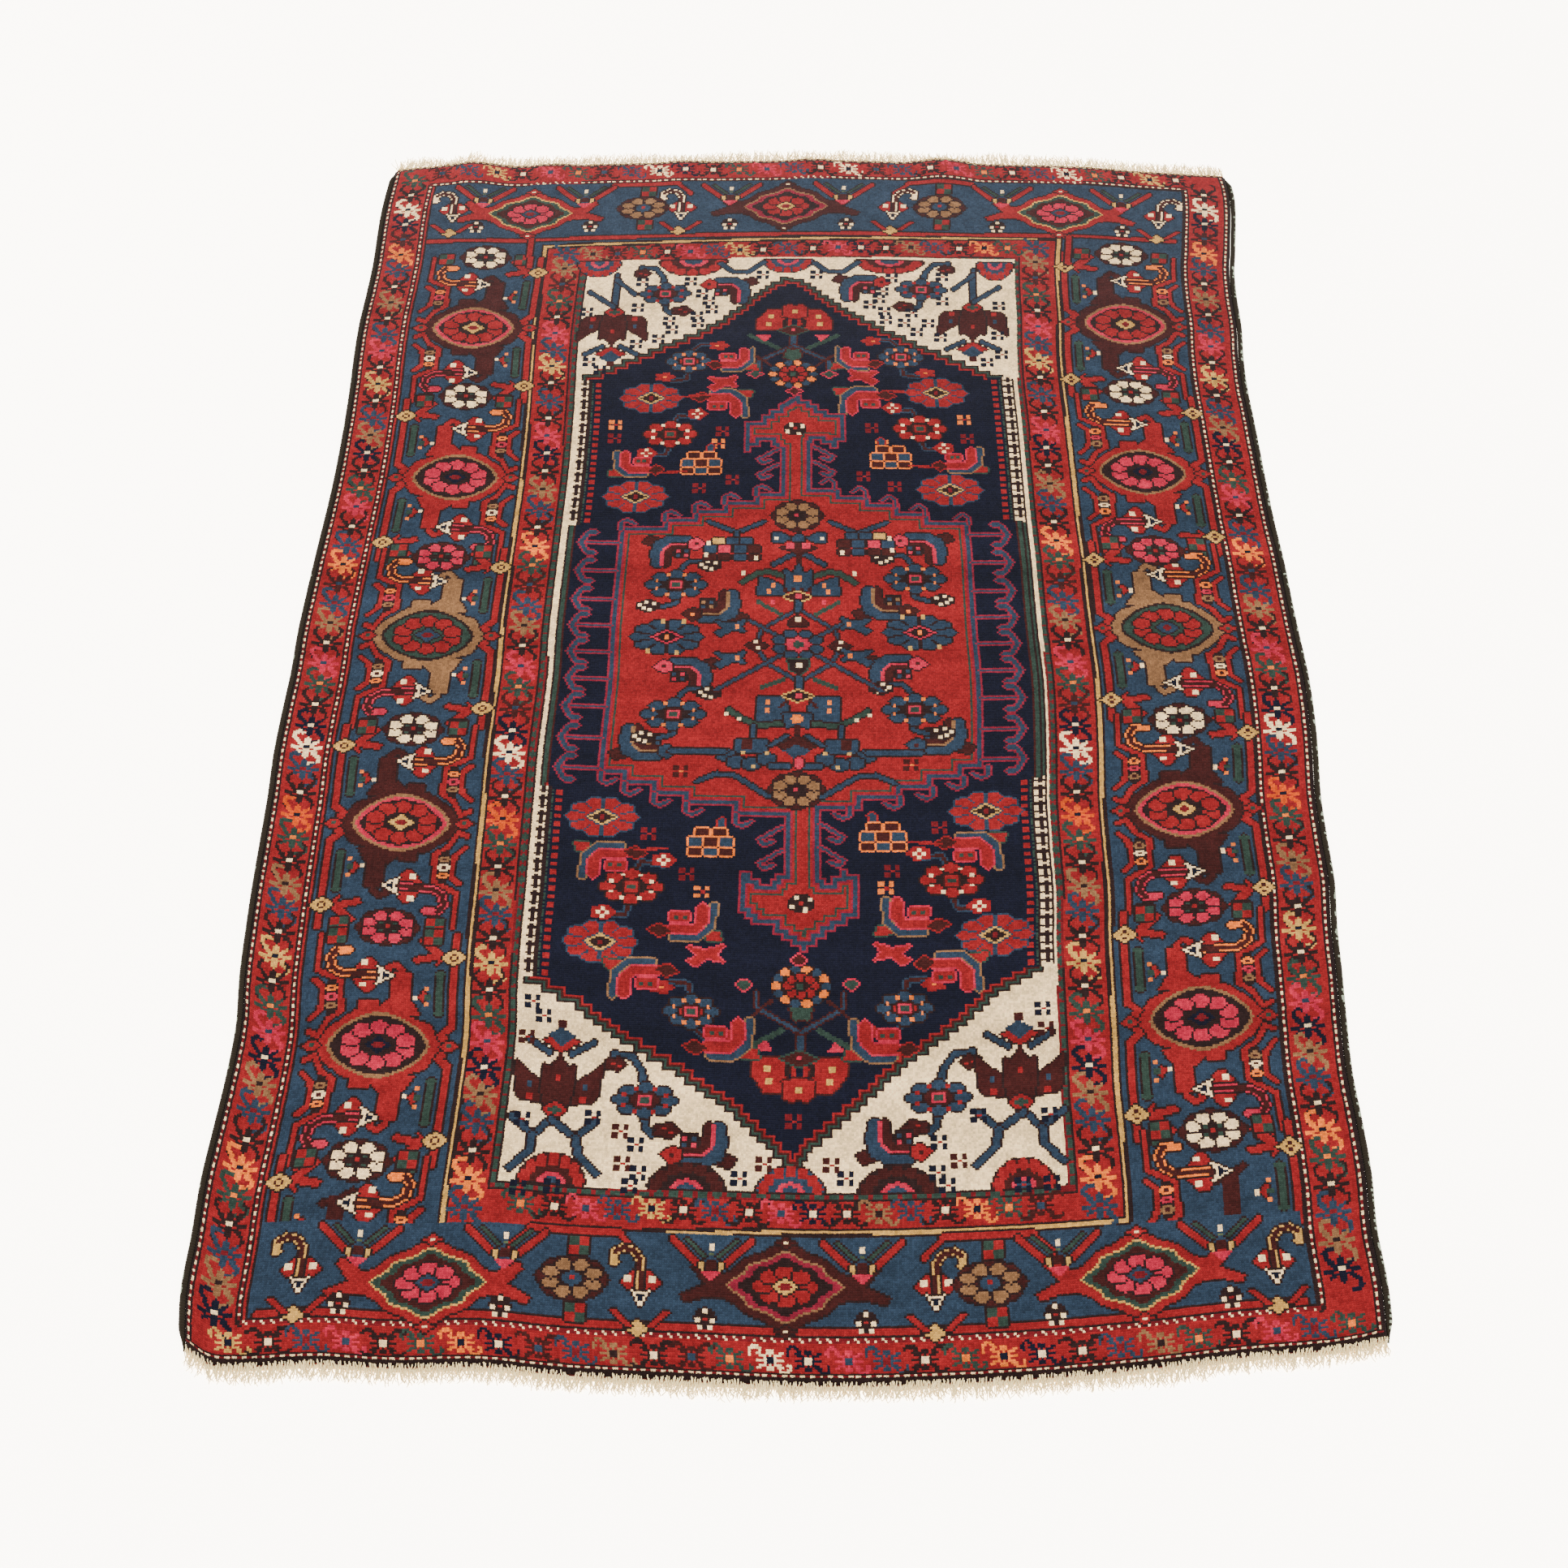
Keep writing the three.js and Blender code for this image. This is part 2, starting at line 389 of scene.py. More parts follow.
def arm_side(pen, v):
    """The straight vine, bar and small flower on the arm side of a medallion. v is up or down."""
    pen.line(((31.5, 57 * v), (31.5, 10 * v), (27, 6 * v), (29, 3 * v)), 3.2, "red")
    pen.line(((25.5, 17 * v), (25.5, 37 * v)), 3.4, "green")
    for down in (17 * v, 37 * v):
        pen.line(((24, down), (27.5, down)), 1.6, "green", None)
    pen.shape(((20, 27 * v), (19, 22 * v), (16, 24.5 * v), (19, 29 * v)), "red")
    pen.dot(20.5, 25 * v, "green", 2.6)
    pen.dot(15, 24.5 * v, "ivory", 2.4)
    pen.dots(((20.5, 21 * v), (20.5, 29.5 * v)), "peach", 2)


def almond(rx, ry, power=1.6, ripple=0):
    """Points round a shape between an oval and a lozenge, with eight ripples if any."""
    points = []
    for index in range(ALMOND_POINTS):
        turn = math.tau * index / ALMOND_POINTS
        x, y = math.cos(turn), math.sin(turn)
        size = (abs(x) ** power + abs(y) ** power) ** (-1 / power) * (1 + ripple * math.cos(8 * turn))
        points.append((rx * size * x, ry * size * y))
    return points


def medallion_heart(pen, facts):
    """The flower inside a medallion, in its rings."""
    for rx, ry, part in ((22.6, 16.6, "rim"), (21, 15, "ring"), (19, 13.2, "inside")):
        pen.shape(almond(rx, ry), facts[part], None)
    pen.ring(0, 19, 13.4, 10, facts["petal"], start=18, reach=0.66, size=0.22)
    pen.lozenge(0, 0, 6, 4.4, facts["seed"])
    pen.lozenge(0, 0, 3, 2.2, "crimson", None)


MEDALLION_LOBES = (
    (36, 0), (27, -3), (22, -11), (8, -17), (-12, -17), (-21, -10), (-28, -2), (-34, 0),
    (-28, 2), (-21, 10), (-12, 17), (8, 17), (22, 11), (27, 3),
)


def medallion_body(pen, body, edge):
    """The lobed body with two arms on one side and two blocks on the other."""
    for v in (-1, 1):
        pen.line(((9, 14 * v), (9, 38 * v), (6, 41.5 * v), (2.5, 40 * v), (3, 38 * v)), 2.6, body, edge)
        pen.box(4.5, min(12 * v, 37 * v), 13, max(12 * v, 37 * v), body, edge)
        pen.box(-9.5, min(12 * v, 22 * v), -1, max(12 * v, 22 * v), body, edge)
        pen.shape(((-6, 15 * v), (18, 15 * v), (14, 22 * v), (4, 24 * v)), body, edge)
    pen.shape(MEDALLION_LOBES, body, edge)


def unit_sprigs(pen, v):
    """All that grows above or below a medallion. v is up or down."""
    bracket(pen, v, "pink" if v < 0 else "ivory")
    arm_side(pen, v)
    boteh(pen, -7, 35.5 * v, -v, "peach" if v < 0 else "pink")
    hand(pen, 31, 45.5 * v, v)
    for u in (-21.5, 21.5):
        check_square(pen, u, 56.5 * v)


def border_unit(pen, kind):
    facts = MEDALLIONS[kind]
    for edge in ("dark", None):
        medallion_body(pen, facts["body"], edge)
    medallion_heart(pen, facts)
    for v in (-1, 1):
        unit_sprigs(pen, v)
    for u in (-29, 31):
        pen.lozenge(u, 0, 4.4, 3.2, "red")
        pen.dot(u, 0, "green", 2)


def border_rosette(pen, petal):
    pen.rosette(13.5, 9.5, petal, "dark", "red")
    pen.dots(((-3, -2), (3, -2), (-3, 2), (3, 2)), "green", 1.8)


LEFT_UNITS = ((139, "maroon"), (253, "red"), (361, "camel"), (475, "maroon"), (594, "red"))
LEFT_ROSETTES = ((81, "ivory"), (193, "ivory"), (309, "pink"), (420, "ivory"), (533, "pink"), (650, "ivory"))
LAST_SPRIGS = 705
UNIT_ACROSS = 60
RIGHT_ACROSS = 417


def right_row(row):
    """The right border runs a little ahead of the left one."""
    return row - 5.5 - 7 * soft_step((row - 400) / 220)


def side_border(chart, middle, inward, row_of):
    """The main border along one side. inward is 1 where the field is to the right."""
    for index, (row, kind) in enumerate(LEFT_UNITS):
        arms = inward if index % 2 == 0 else -inward
        pen = Pen(chart, middle, row_of(row), across=arms)
        border_unit(pen, kind)
    unit_sprigs(Pen(chart, middle, row_of(LAST_SPRIGS), across=-inward), -1)
    for row, petal in LEFT_ROSETTES:
        border_rosette(Pen(chart, middle, row_of(row)), petal)


# The grounds of the borders as boxes, then the frame round the field as four-sided shapes, outside first.
BORDER_GROUNDS = (
    (-2, -2, 480, 745, "dark"),
    (0, 1, 475, 738, "red"),
    (24, 16, 451, 721, "dark"),
    (25, 17, 450, 720, "blue"),
)
INNER_FRAME = ((93, 71.4), (382, 64), (378.6, 675.6), (240, 675.2), (185, 678), (99, 680.4))
FIELD_FRAMES = (
    (((114, 87), (361, 80), (359, 661), (116, 662.5)), "dark"),
    (((115, 88), (360, 81), (358, 660), (117, 661.5)), "crimson"),
    (((118, 90), (357, 83), (355, 658), (119, 659.5)), "dark"),
    (((119, 91), (356, 84), (354, 657), (120, 658.5)), "ivory"),
)


def frame_lines(chart):
    """Grounds and stripes of the borders and the field, from the outside in."""
    pen = Pen(chart)
    for *corners, dye in BORDER_GROUNDS:
        pen.box(*corners, dye)
    pen.shape(INNER_FRAME, "red", None)
    for width, dye in ((4.2, "dark"), (1.4, "straw")):
        pen.line(INNER_FRAME + INNER_FRAME[:1], width, dye, None)
    for outline, dye in FIELD_FRAMES:
        pen.shape(outline, dye, None)
    for stripe in BARBER_STRIPES:
        barber_stripe(pen, *stripe)
    for start, end in CHECKED_STRIPES:
        checked_stripe(pen, start, end)


# Rows of stars: their dyes and the places of the first and the last one.
SIDE_GUARDS = (
    (SIDE_STARS, (11.3, 12), (11.3, 718)),
    (SIDE_STARS[1:], (463, 19), (463, 706)),
    (INNER_STARS, (105.5, 78), (107.5, 671)),
    (INNER_STARS, (369.5, 72), (367.5, 668)),
)
END_GUARDS = (
    (FAR_STARS, (27, 7.5), (449, 6.5)),
    (NEAR_STARS, (18, 729.8), (464, 729.8)),
    (INNER_STARS[1:19], (121, 79), (354, 73)),
    (INNER_STARS[3:20], (131, 668), (344, 666)),
)


def guards(chart):
    for guard in SIDE_GUARDS:
        stars_between(chart, *guard)
    for guard in END_GUARDS:
        stars_between(chart, *guard, LOW_STAR, turned=True)


# End borders

END_ARM = ((14, -9), (26, -4), (36, -10), (38, -7), (32, 0), (42, 5), (40, 8), (31, 5), (24, 6), (14, 10))
END_BORDERS = (
    {
        "row": 40,
        "base": ((26, 27), (120, 25), (446, 21)),
        "boteh": "ivory",
        "joins": (((84, 24), (85.5, 48)), ((387, 22), (388, 45))),
        "medallions": ((82, 43, "red"), (227, 40, "maroon"), (382, 42, "red")),
        "rosettes": (146, 314),
        "botehs": (38, 168, 288, 437),
        "pendants": (54, 112, 195, 259, 349, 416),
        "clusters": (52, 117, 196, 262, 347, 417),
    },
    {
        "row": 699,
        "base": ((28, 19.2), (446, 19)),
        "boteh": "straw",
        "joins": (),
        "medallions": ((96, 704, "red"), (240, 699, "maroon"), (382, 700, "red")),
        "rosettes": (154, 322),
        "botehs": (44, 182, 300, 436),
        "pendants": (66, 126, 210, 271, 350, 416),
        "clusters": (61, 126, 208, 272, 347, 417),
    },
)

# Maroon leaves that fill the near corners of the main border, as from x, from row, to x and to row.
CORNER_LEAVES = ((51, 667, 58, 684), (418, 658, 425, 680))


def end_medallion(pen, kind):
    body = MEDALLIONS[kind]["body"]
    for edge in ("dark", None):
        for side in (-1, 1):
            pen.shape([(x * side, y) for x, y in END_ARM], body, edge)
        pen.shape(almond(28, 18.5, 1.3, 0.03), body, edge)
    rim, ring = ("straw", "green") if kind == "red" else ("camel", "rose")
    for size, dye in ((1, rim), (0.94, ring), (0.8, "maroon" if kind == "red" else "dark")):
        pen.shape(almond(23 * size, 15 * size, 1.35, 0.05), dye, None)
    pen.ring(0, 13, 8.4, 8, "pink" if kind == "red" else "red", reach=0.7, size=0.3)
    pen.lozenge(0, 0, 5.4, 4, "blue" if kind == "red" else "straw")
    pen.lozenge(0, 0, 3, 2.2, "crimson", None)
    for y in (-19, 19):
        pen.lozenge(0, y, 3.6, 2.6, body)
        pen.dot(0, y, "ivory", 1.6)


def pendant(pen, x):
    for side in (-1, 1):
        pen.line(((x + 16 * side, -19), (x + 6 * side, -9)), 2.6, "red")
        pen.line(((x + 10 * side, -19), (x + 3 * side, -12)), 2, "green")
        pen.line(((x + 3.6 * side, -9), (x + 3.6 * side, -6.5)), 2, "straw")
    pen.dot(x, -8, "maroon", 4)
    pen.shape(((x - 4, -5), (x + 4, -5), (x, -1.5)), "pink", None)
    pen.dot(x, -16, "ivory", 2.4)
    pen.dot(x, -13, "sage", 1.6)


def cluster(pen, x, y):
    pen.oval(x, y, 4.6, 4.6, "dark", None)
    pen.dots(((x - 3, y + 1), (x + 3, y + 1), (x, y - 3), (x - 1.9, y + 4), (x + 1.9, y + 4)), "ivory")
    pen.dot(x, y + 0.5, "red", 1.6)


def corner_leaf(pen, left, top, right, bottom):
    middle = (left + right) / 2
    for side in (-1, 1):
        pen.line(((middle, top + 2), (middle + 6 * side, top - 3 * side)), 2.4, "maroon")
    pen.box(left, top, right, bottom, "maroon")


def end_border(chart, facts):
    pen = Pen(chart, 0, facts["row"])
    pen.box(26, -21, 449, 19, "blue")
    pen.line(facts["base"], 2.6, "red")
    for line in facts["joins"]:
        pen.line(line, 3, "red")
    for x in facts["rosettes"]:
        pen.line(((x - 26, -12), (x - 18, -21), (x + 18, -21), (x + 26, -12)), 2.4, "red")
    for x, row, kind in facts["medallions"]:
        end_medallion(Pen(chart, x, row), kind)
    for x in facts["pendants"]:
        pendant(pen, x)
    for x in facts["clusters"]:
        cluster(pen, x, 14.5)
    for x in facts["botehs"]:
        hooked = Pen(chart, x, facts["row"], turned=True)
        boteh(hooked, 0, 0, 1 if x < COLUMNS / 2 else -1, facts["boteh"], size=0.85)
        pen.lozenge(x - 1, 20, 5, 3.6, "straw")
        for side in (-1, 1):
            pen.line(((x + 4 * side, 19), (x + 11 * side, 13)), 2, "red")
    for x in facts["rosettes"]:
        Pen(chart, x, facts["row"]).rosette(14, 9.5, "camel", "blue", "red")
        for y in (-14.5, 15):
            check_square(Pen(chart, x + 2, facts["row"] + y), 0, 0)


# The field: an ivory ground, a navy hexagon and a red medallion with a pendant at each end

HEXAGON_LEFT = (
    (232, 100), (222, 107), (213, 116), (204, 127), (193, 138), (183, 146), (170, 153), (150, 165), (130, 177),
    (122, 182), (122, 563), (145, 575), (165, 591), (190, 606), (212, 622), (230, 639), (240, 651),
)
HEXAGON_RIGHT = (
    (238, 102), (248, 111), (258, 121), (270, 131), (292, 146), (310, 157), (330, 169), (350, 179),
    (355, 182), (355, 550), (330, 566), (312, 583), (290, 600), (270, 621), (250, 640), (244, 651),
)
MEDALLION_LEFT = (
    (229, 226), (229, 264), (216, 264), (216, 270), (200, 270), (200, 276), (185, 276), (185, 282), (170, 282),
    (170, 288), (148, 288), (148, 446), (159, 446), (159, 452), (173, 452), (173, 458), (188, 458), (188, 463),
    (211, 463), (211, 469), (235, 469), (235, 512),
)
MEDALLION_RIGHT = (
    (246, 226), (246, 261), (261, 261), (261, 266), (276, 266), (276, 271), (291, 271), (291, 277), (306, 277),
    (306, 283), (326, 283), (326, 441), (317, 441), (317, 447), (303, 447), (303, 453), (289, 453), (289, 459),
    (271, 459), (271, 465), (252, 465), (252, 512),
)
FAR_POINT = (
    (237, 193), (246, 200), (255, 207), (264, 212), (264, 228), (260, 233), (250, 227), (245, 233), (229, 235),
    (224, 228), (214, 236), (210, 231), (210, 213), (219, 208), (228, 200),
)
NEAR_POINT = (
    (234, 500), (229, 506), (221, 499), (215, 503), (215, 522), (221, 528), (231, 533), (243, 542), (255, 531),
    (264, 524), (269, 520), (269, 500), (264, 497), (256, 505), (252, 499),
)
FAR_HOOKS = ((148, 289), (170, 283), (185, 277), (200, 271), (216, 265))
NEAR_HOOKS = ((149, 445), (160, 451), (174, 457), (189, 462), (212, 468))
ANCHOR_ROWS = (299, 318, 337, 354, 371, 388, 405, 424, 442)
BARBS = (
    ((228, 233), (247, 231)), ((228, 244), (247, 242)), ((234, 474), (252, 472)), ((234, 487), (252, 485)),
)
TRIM_BARS = ((3, 4.4, "dark"), (4.4, 6, "green"), (6, 7.4, "maroon"))
NEAR_DROP = 2
NEAR_DROP_START = 480
NEAR_DROP_REACH = 100


def stepped(points, rise=3.5):
    """Turns each slanting line of an outline into stairs, as knots make it."""
    stairs = [points[0]]
    for (x0, y0), (x1, y1) in zip(points[:-1], points[1:]):
        steps = max(1, round(abs(y1 - y0) / rise)) if x0 != x1 else 1
        for step in range(1, steps + 1):
            x = x0 + (x1 - x0) * step / steps
            stairs.append((x, stairs[-1][1]))
            stairs.append((x, y0 + (y1 - y0) * step / steps))
    return stairs


def outline_mask(outline):
    """Which knots of the whole chart lie inside an outline."""
    marked = np.zeros((ROWS, COLUMNS), dtype=int)
    Pen(marked).shape(outline, "red", None)
    return marked == DYE_NUMBERS["red"]


def eroded(mask):
    """The mask without its outermost knots."""
    thin = mask.copy()
    thin[1:] &= mask[:-1]
    thin[:-1] &= mask[1:]
    thin[:, 1:] &= thin[:, :-1]
    thin[:, :-1] &= thin[:, 1:]
    return thin


def fill_in_bands(chart, mask, bands, ground):
    """Bands of dye, each some knots wide, from the edge of a mask inwards, then its ground."""
    for dye, knots in bands:
        chart[mask] = DYE_NUMBERS[dye]
        for _ in range(knots):
            mask = eroded(mask)
    chart[mask] = DYE_NUMBERS[ground]


def field_pen(chart, x, y, across=1, down=1):
    """A pen for a motif of the field, whose near part is woven a little looser than the borders."""
    drop = NEAR_DROP * soft_step((y - NEAR_DROP_START) / NEAR_DROP_REACH)
    return Pen(chart, x, y + drop, across, down)


def sides(chart, *pairs, across=1, down=1):
    """A pen at both places of each pair. A motif drawn for the left one is mirrored in the right one."""
    for left, right in pairs:
        yield field_pen(chart, *left, across, down)
        yield field_pen(chart, *right, -across, down)


def comb_trim(pen, length):
    """The band of small crosses and dashes beside the ivory strip."""
    pen.box(3, 0, 16, length, "navy")
    pen.box(3, 0, 7.5, length, "ivory")
    pen.box(7.5, 0, 8.6, length, "dark")
    for row in np.arange(2, length - 1, 4.5):
        pen.box(2.6, row - 0.7, 8, row + 0.9, "dark")
        pen.box(4.4, row - 2, 6, row + 2, "dark")
        pen.dots(((9.6, row), (9.6, row + 2.2)), "green", 1.4)
        pen.dot(12.6, row + 1, "red", 2.4)


def middle_trim(pen, length):
    for start, end, dye in TRIM_BARS:
        pen.box(start, 0, end, length, dye)


def anchor(pen):
    pen.line(((0, 0), (-15, 0)), 1.5, "blue", "rose")
    pen.line(((-11, -7), (-15, -7), (-18.5, 0), (-15, 7), (-11, 7)), 2, "blue", "rose")


def step_hook(pen):
    pen.line(((0.8, 1), (0.8, -4), (4, -6), (8, -3)), 1.4, "blue", "rose")


def barb(pen):
    pen.line(((0, 0), (-10, 7), (-8, 10), (-4, 8)), 1.4, "blue", "rose")


def field_ground(chart):
    pen = Pen(chart)
    pen.shape(((119, 85), (358, 82), (355, 656.5), (120, 658)), "ivory", None)
    hexagon = outline_mask(stepped(HEXAGON_LEFT) + stepped(HEXAGON_RIGHT)[::-1])
    fill_in_bands(chart, hexagon, (("dark", 1), ("green", 1), ("maroon", 1), ("red", 1)), "navy")
    for places, length in ((((119, 182), (357, 178)), 106), (((119, 454), (357, 446)), 105)):
        for side in sides(chart, places):
            comb_trim(side, length)
    for side in sides(chart, ((119, 288), (356, 283))):
        middle_trim(side, 164)


def red_medallion(chart):
    outlines = (MEDALLION_LEFT + MEDALLION_RIGHT[::-1], stepped(FAR_POINT), stepped(NEAR_POINT))
    mask = np.any([outline_mask(outline) for outline in outlines], axis=0)
    bands = (("rose", 1), ("blue", 2), ("rose", 1), ("red", 1), ("green", 1))
    fill_in_bands(chart, mask, bands, "red")
    far_hooks = [((x, y), (474.5 - x, y - 5)) for x, y in FAR_HOOKS]
    near_hooks = [((x, y), (478 - x, y - 5)) for x, y in NEAR_HOOKS]
    for side in (*sides(chart, *far_hooks), *sides(chart, *near_hooks, down=-1)):
        step_hook(side)
    for side in sides(chart, *(((148, row), (326, row - 7)) for row in ANCHOR_ROWS)):
        anchor(side)
    for side in sides(chart, *BARBS):
        barb(side)


# Flowers and leaves of the field. Each table row gives the place in the left half and in the right half.

def bent_leaf(pen, outer, line, inner, bud):
    """A leaf that grows from a bud, runs along and bends down in three bands, with a block inside the bend."""
    pen.shape(((7, -9), (13, -11), (15, -6), (9, -3)), inner)
    pen.line(((-7, -7.5), (1, -8), (6.5, -5), (8, 1), (7, 8)), 6, outer)
    pen.line(((-7, -3), (0, -3), (2.5, 0), (3, 8)), 4.4, inner)
    pen.line(((-7, -5), (1, -5), (4.5, -1.5), (5, 9)), 1.9, line, None)
    pen.box(-9, -2, -1, 5, "dark")
    pen.dots(((-7, -0.4), (-3, 2.4)), outer)
    pen.dots(((-3, -0.4), (-7, 2.4)), line)
    pen.shape(((-17, -5), (-12, -10), (-8, -7), (-8, -3), (-12, -1)), bud)
    pen.dot(-12, -5.5, "maroon" if bud != "maroon" else "peach")


def pink_leaf(pen, size):
    """The bent leaf of the navy ground: red in pink lines, with a blue back edged in straw."""
    def at(points):
        return [(x * size, y * size) for x, y in points]
    pen.shape(at(((6, -10), (14, -11), (13, -6), (9, -5))), "red", "green")
    pen.line(at(((-8, -9.5), (3, -9.5), (8.5, -4), (9.5, 8))), 3 * size, "blue", "camel")
    pen.line(at(((-9, -5), (1, -5), (4.5, -1), (4.5, 7))), 4.2 * size, "red", "pink")
    pen.box(-10 * size, -1 * size, -1 * size, 4 * size, "red", "pink")
    pen.dots(at(((-7, 1.5), (-3, 1.5))), "green", 2)
    pen.shape(at(((-19, -5), (-14, -9), (-9, -6), (-14, -2))), "maroon", "red")


def lobed_flower(pen, rx, ry, petal, edge, rim, heart, lobes=10):
    """A full flower: lobes parted by thin lines round an almond in a thin rim."""
    pen.oval(0, 0, rx, ry, petal, edge, petals=lobes, depth=0.07)
    for index in range(lobes):
        turn = math.radians(360 * (index + 0.5) / lobes)
        inner = (rx * 0.55 * math.cos(turn), ry * 0.55 * math.sin(turn))
        outer = (rx * 0.93 * math.cos(turn), ry * 0.93 * math.sin(turn))
        pen.line((inner, outer), 1, edge, None)
    pen.lozenge(0, 0, rx * 0.48, ry * 0.46, rim, edge)
    pen.lozenge(0, 0, rx * 0.36, ry * 0.33, "dark", None)
    pen.dot(0, 0, heart, 2.4)


def square_flower(pen, rx, ry, petal, edge, seeds, middle):
    """A wide flower of eight petals with light ticks between them round a small square."""
    pen.oval(0, 0, rx * 0.62, ry * 0.72, edge, None)
    pen.ring(0, rx, ry, 8, petal, start=0, reach=0.72, size=0.24)
    for index in range(8):
        turn = math.radians(45 * index + 22.5)
        pen.dots(((rx * 0.66 * math.cos(turn), ry * 0.72 * math.sin(turn)),), seeds, 1.7)
    pen.box(-3.4, -2.8, 3.4, 2.8, middle, "maroon")
    pen.box(-1.6, -1.2, 1.6, 1.2, "green")


def block_flower(pen, rows, edge):
    """A flower of small blocks with thin lines between them."""
    for row, names in enumerate(rows):
        for column, dye in enumerate(names.split()):
            x = (column - (len(names.split()) - 1) / 2) * 7.4
            y = (row - 1) * 5.6
            pen.box(x - 3, y - 2.1, x + 3, y + 2.1, dye, edge)


def winged_leaf(pen, dye, edge="dark"):
    """A small leaf cut like a fish."""
    pen.shape(((-9, -4), (0, -2), (8, -5), (5, 0), (8, 4), (1, 2), (-5, 7), (-8, 4), (-4, 1)), dye, edge)


def four_dots(pen, x, y, dye, seed="red"):
    for across in (-2.1, 2.1):
        for down in (-2, 2):
            pen.box(x + across - 1.4, y + down - 1.4, x + across + 1.4, y + down + 1.4, dye)
    pen.dot(x, y, seed, 1.3)


# Leaves: colours or size, both places, and the way across and down that the left one runs.
RED_GROUND_LEAVES = (
    (("blue", "pink", "maroon", "pink"), ((176, 305), (302, 302)), -1, 1),
    (("blue", "camel", "maroon", "maroon"), ((200, 341), (281, 338)), 1, -1),
    (("blue", "pink", "maroon", "pink"), ((187, 385), (284, 382)), 1, 1),
    (("blue", "camel", "maroon", "blue"), ((168, 426), (307, 421)), -1, -1),
)
NAVY_GROUND_LEAVES = (
    (0.85, ((206, 165), (269, 164)), 1, -1),
    (1.0, ((201, 200), (272, 198)), 1, 1),
    (0.9, ((152, 243), (325, 239)), -1, -1),
    (1.0, ((154, 495), (322, 488)), -1, 1),
    (1.0, ((195, 525), (290, 521)), 1, -1),
    (1.0, ((171, 556), (312, 551)), -1, 1),
    (1.0, ((212, 583), (276, 583)), 1, -1),
)
IVORY_LEAVES = (
    (("blue", "pink", "maroon", "red"), ((200, 111), (272, 109)), 1, 1),
    (("blue", "pink", "maroon", "red"), ((203, 635), (283, 632)), 1, -1),
)
BIG_FLOWERS = (
    ((160, 195), (313, 190)), ((155, 267), (317, 261)), ((152, 470), (327, 465)), ((155, 537), (329, 532)),
)
SMALL_FLOWERS = (((171, 222), (303, 217)), ((167, 508), (310, 503)))
BLUE_SQUARE_FLOWERS = (((179, 327), (297, 322)), ((181, 409), (294, 405)))
DARK_DOTS = (
    (151, 103), (178, 103), (218, 98), (185, 113), (189, 119), (191, 126), (183, 131), (184, 137), (150, 124),
    (122, 127), (168, 135), (170, 142), (163, 149), (151, 153), (126, 167), (132, 173), (248, 98), (290, 100),
    (318, 98), (285, 111), (283, 117), (278, 122), (286, 127), (287, 134), (301, 128), (297, 136), (310, 136),
    (304, 143), (317, 147), (318, 118), (349, 121), (348, 145), (350, 160), (342, 166), (127, 569), (132, 576),
    (127, 627), (157, 624), (176, 636), (178, 649), (175, 655), (129, 659), (143, 657), (220, 650), (349, 570),
    (320, 621), (350, 622), (303, 633), (302, 647), (306, 653), (337, 654), (349, 654), (264, 649),
)
BROWN_DOTS = ((125, 587), (350, 580), (171, 645), (230, 643), (258, 643), (311, 642), (169, 630))
PINK_DOTS = (
    (142, 225), (199, 220), (205, 255), (188, 261), (328, 224), (278, 217), (273, 252), (289, 259), (174, 479),
    (192, 501), (306, 474), (284, 498), (242, 623),
)
PEACH_DOTS = ((142, 215), (197, 229), (327, 210), (283, 229), (199, 510), (281, 507))
FOUR_DOTS = {"navy": DARK_DOTS, "maroon": BROWN_DOTS, "crimson": PINK_DOTS, "peach": PEACH_DOTS}


def fan_palmette(pen, dye, seed):
    """Three broad lobes with toothed bases over an almond, and a leaf on either side below."""
    pen.line(((0, 12), (0, 24)), 3.4, "blue", "maroon")
    lobe = ((4, 8), (8, -4), (15, -3), (20, 4), (21, 13), (7, 13))
    for side in (-1, 1):
        pen.shape([(x * side, y) for x, y in lobe], dye, "maroon")
        pen.dots(((13 * side, 2), (14 * side, 8)), seed, 2.6)
        pen.line(((2.5 * side, 5), (2.5 * side, 11)), 1.4, dye, None)
        pen.line(((5.5 * side, 5), (5.5 * side, 10)), 1.2, "dark", None)
        pen.line(((24 * side, 17), (8 * side, 27)), 2.8, "green", None)
        pen.shape(((12 * side, 17), (21 * side, 16), (15 * side, 22)), "pink", None)
    pen.shape(((-7, 2), (-6, -6), (-3, -8), (0, -6), (3, -8), (6, -6), (7, 2), (0, 4)), dye, "maroon")
    pen.dot(0, -2, seed, 2.6)
    pen.lozenge(0, 13, 8, 4, "maroon", "green")
    pen.dot(0, 13, "pink", 2)


def stems_crossing(pen):
    """Thin stems that leave a middle, cross and end at a small flower on each side."""
    for side in (-1, 1):
        pen.line(((0, 0), (19 * side, 12), (19 * side, 20)), 1.6, "blue", "maroon")
        pen.line(((25 * side, 4), (12 * side, 16)), 1.6, "maroon", None)


def many_coloured_flower(pen):
    pen.oval(0, 0, 13.4, 11, "dark", None)
    for index in range(14):
        turn = math.radians(360 * index / 14)
        dye = "peach" if index % 2 else "blue"
        pen.oval(11 * math.cos(turn), 8.8 * math.sin(turn), 2.2, 2, dye, None)
    pen.ring(0, 9, 7.5, 8, "red", reach=0.62, size=0.24)
    pen.dot(0, 0, "green", 3)


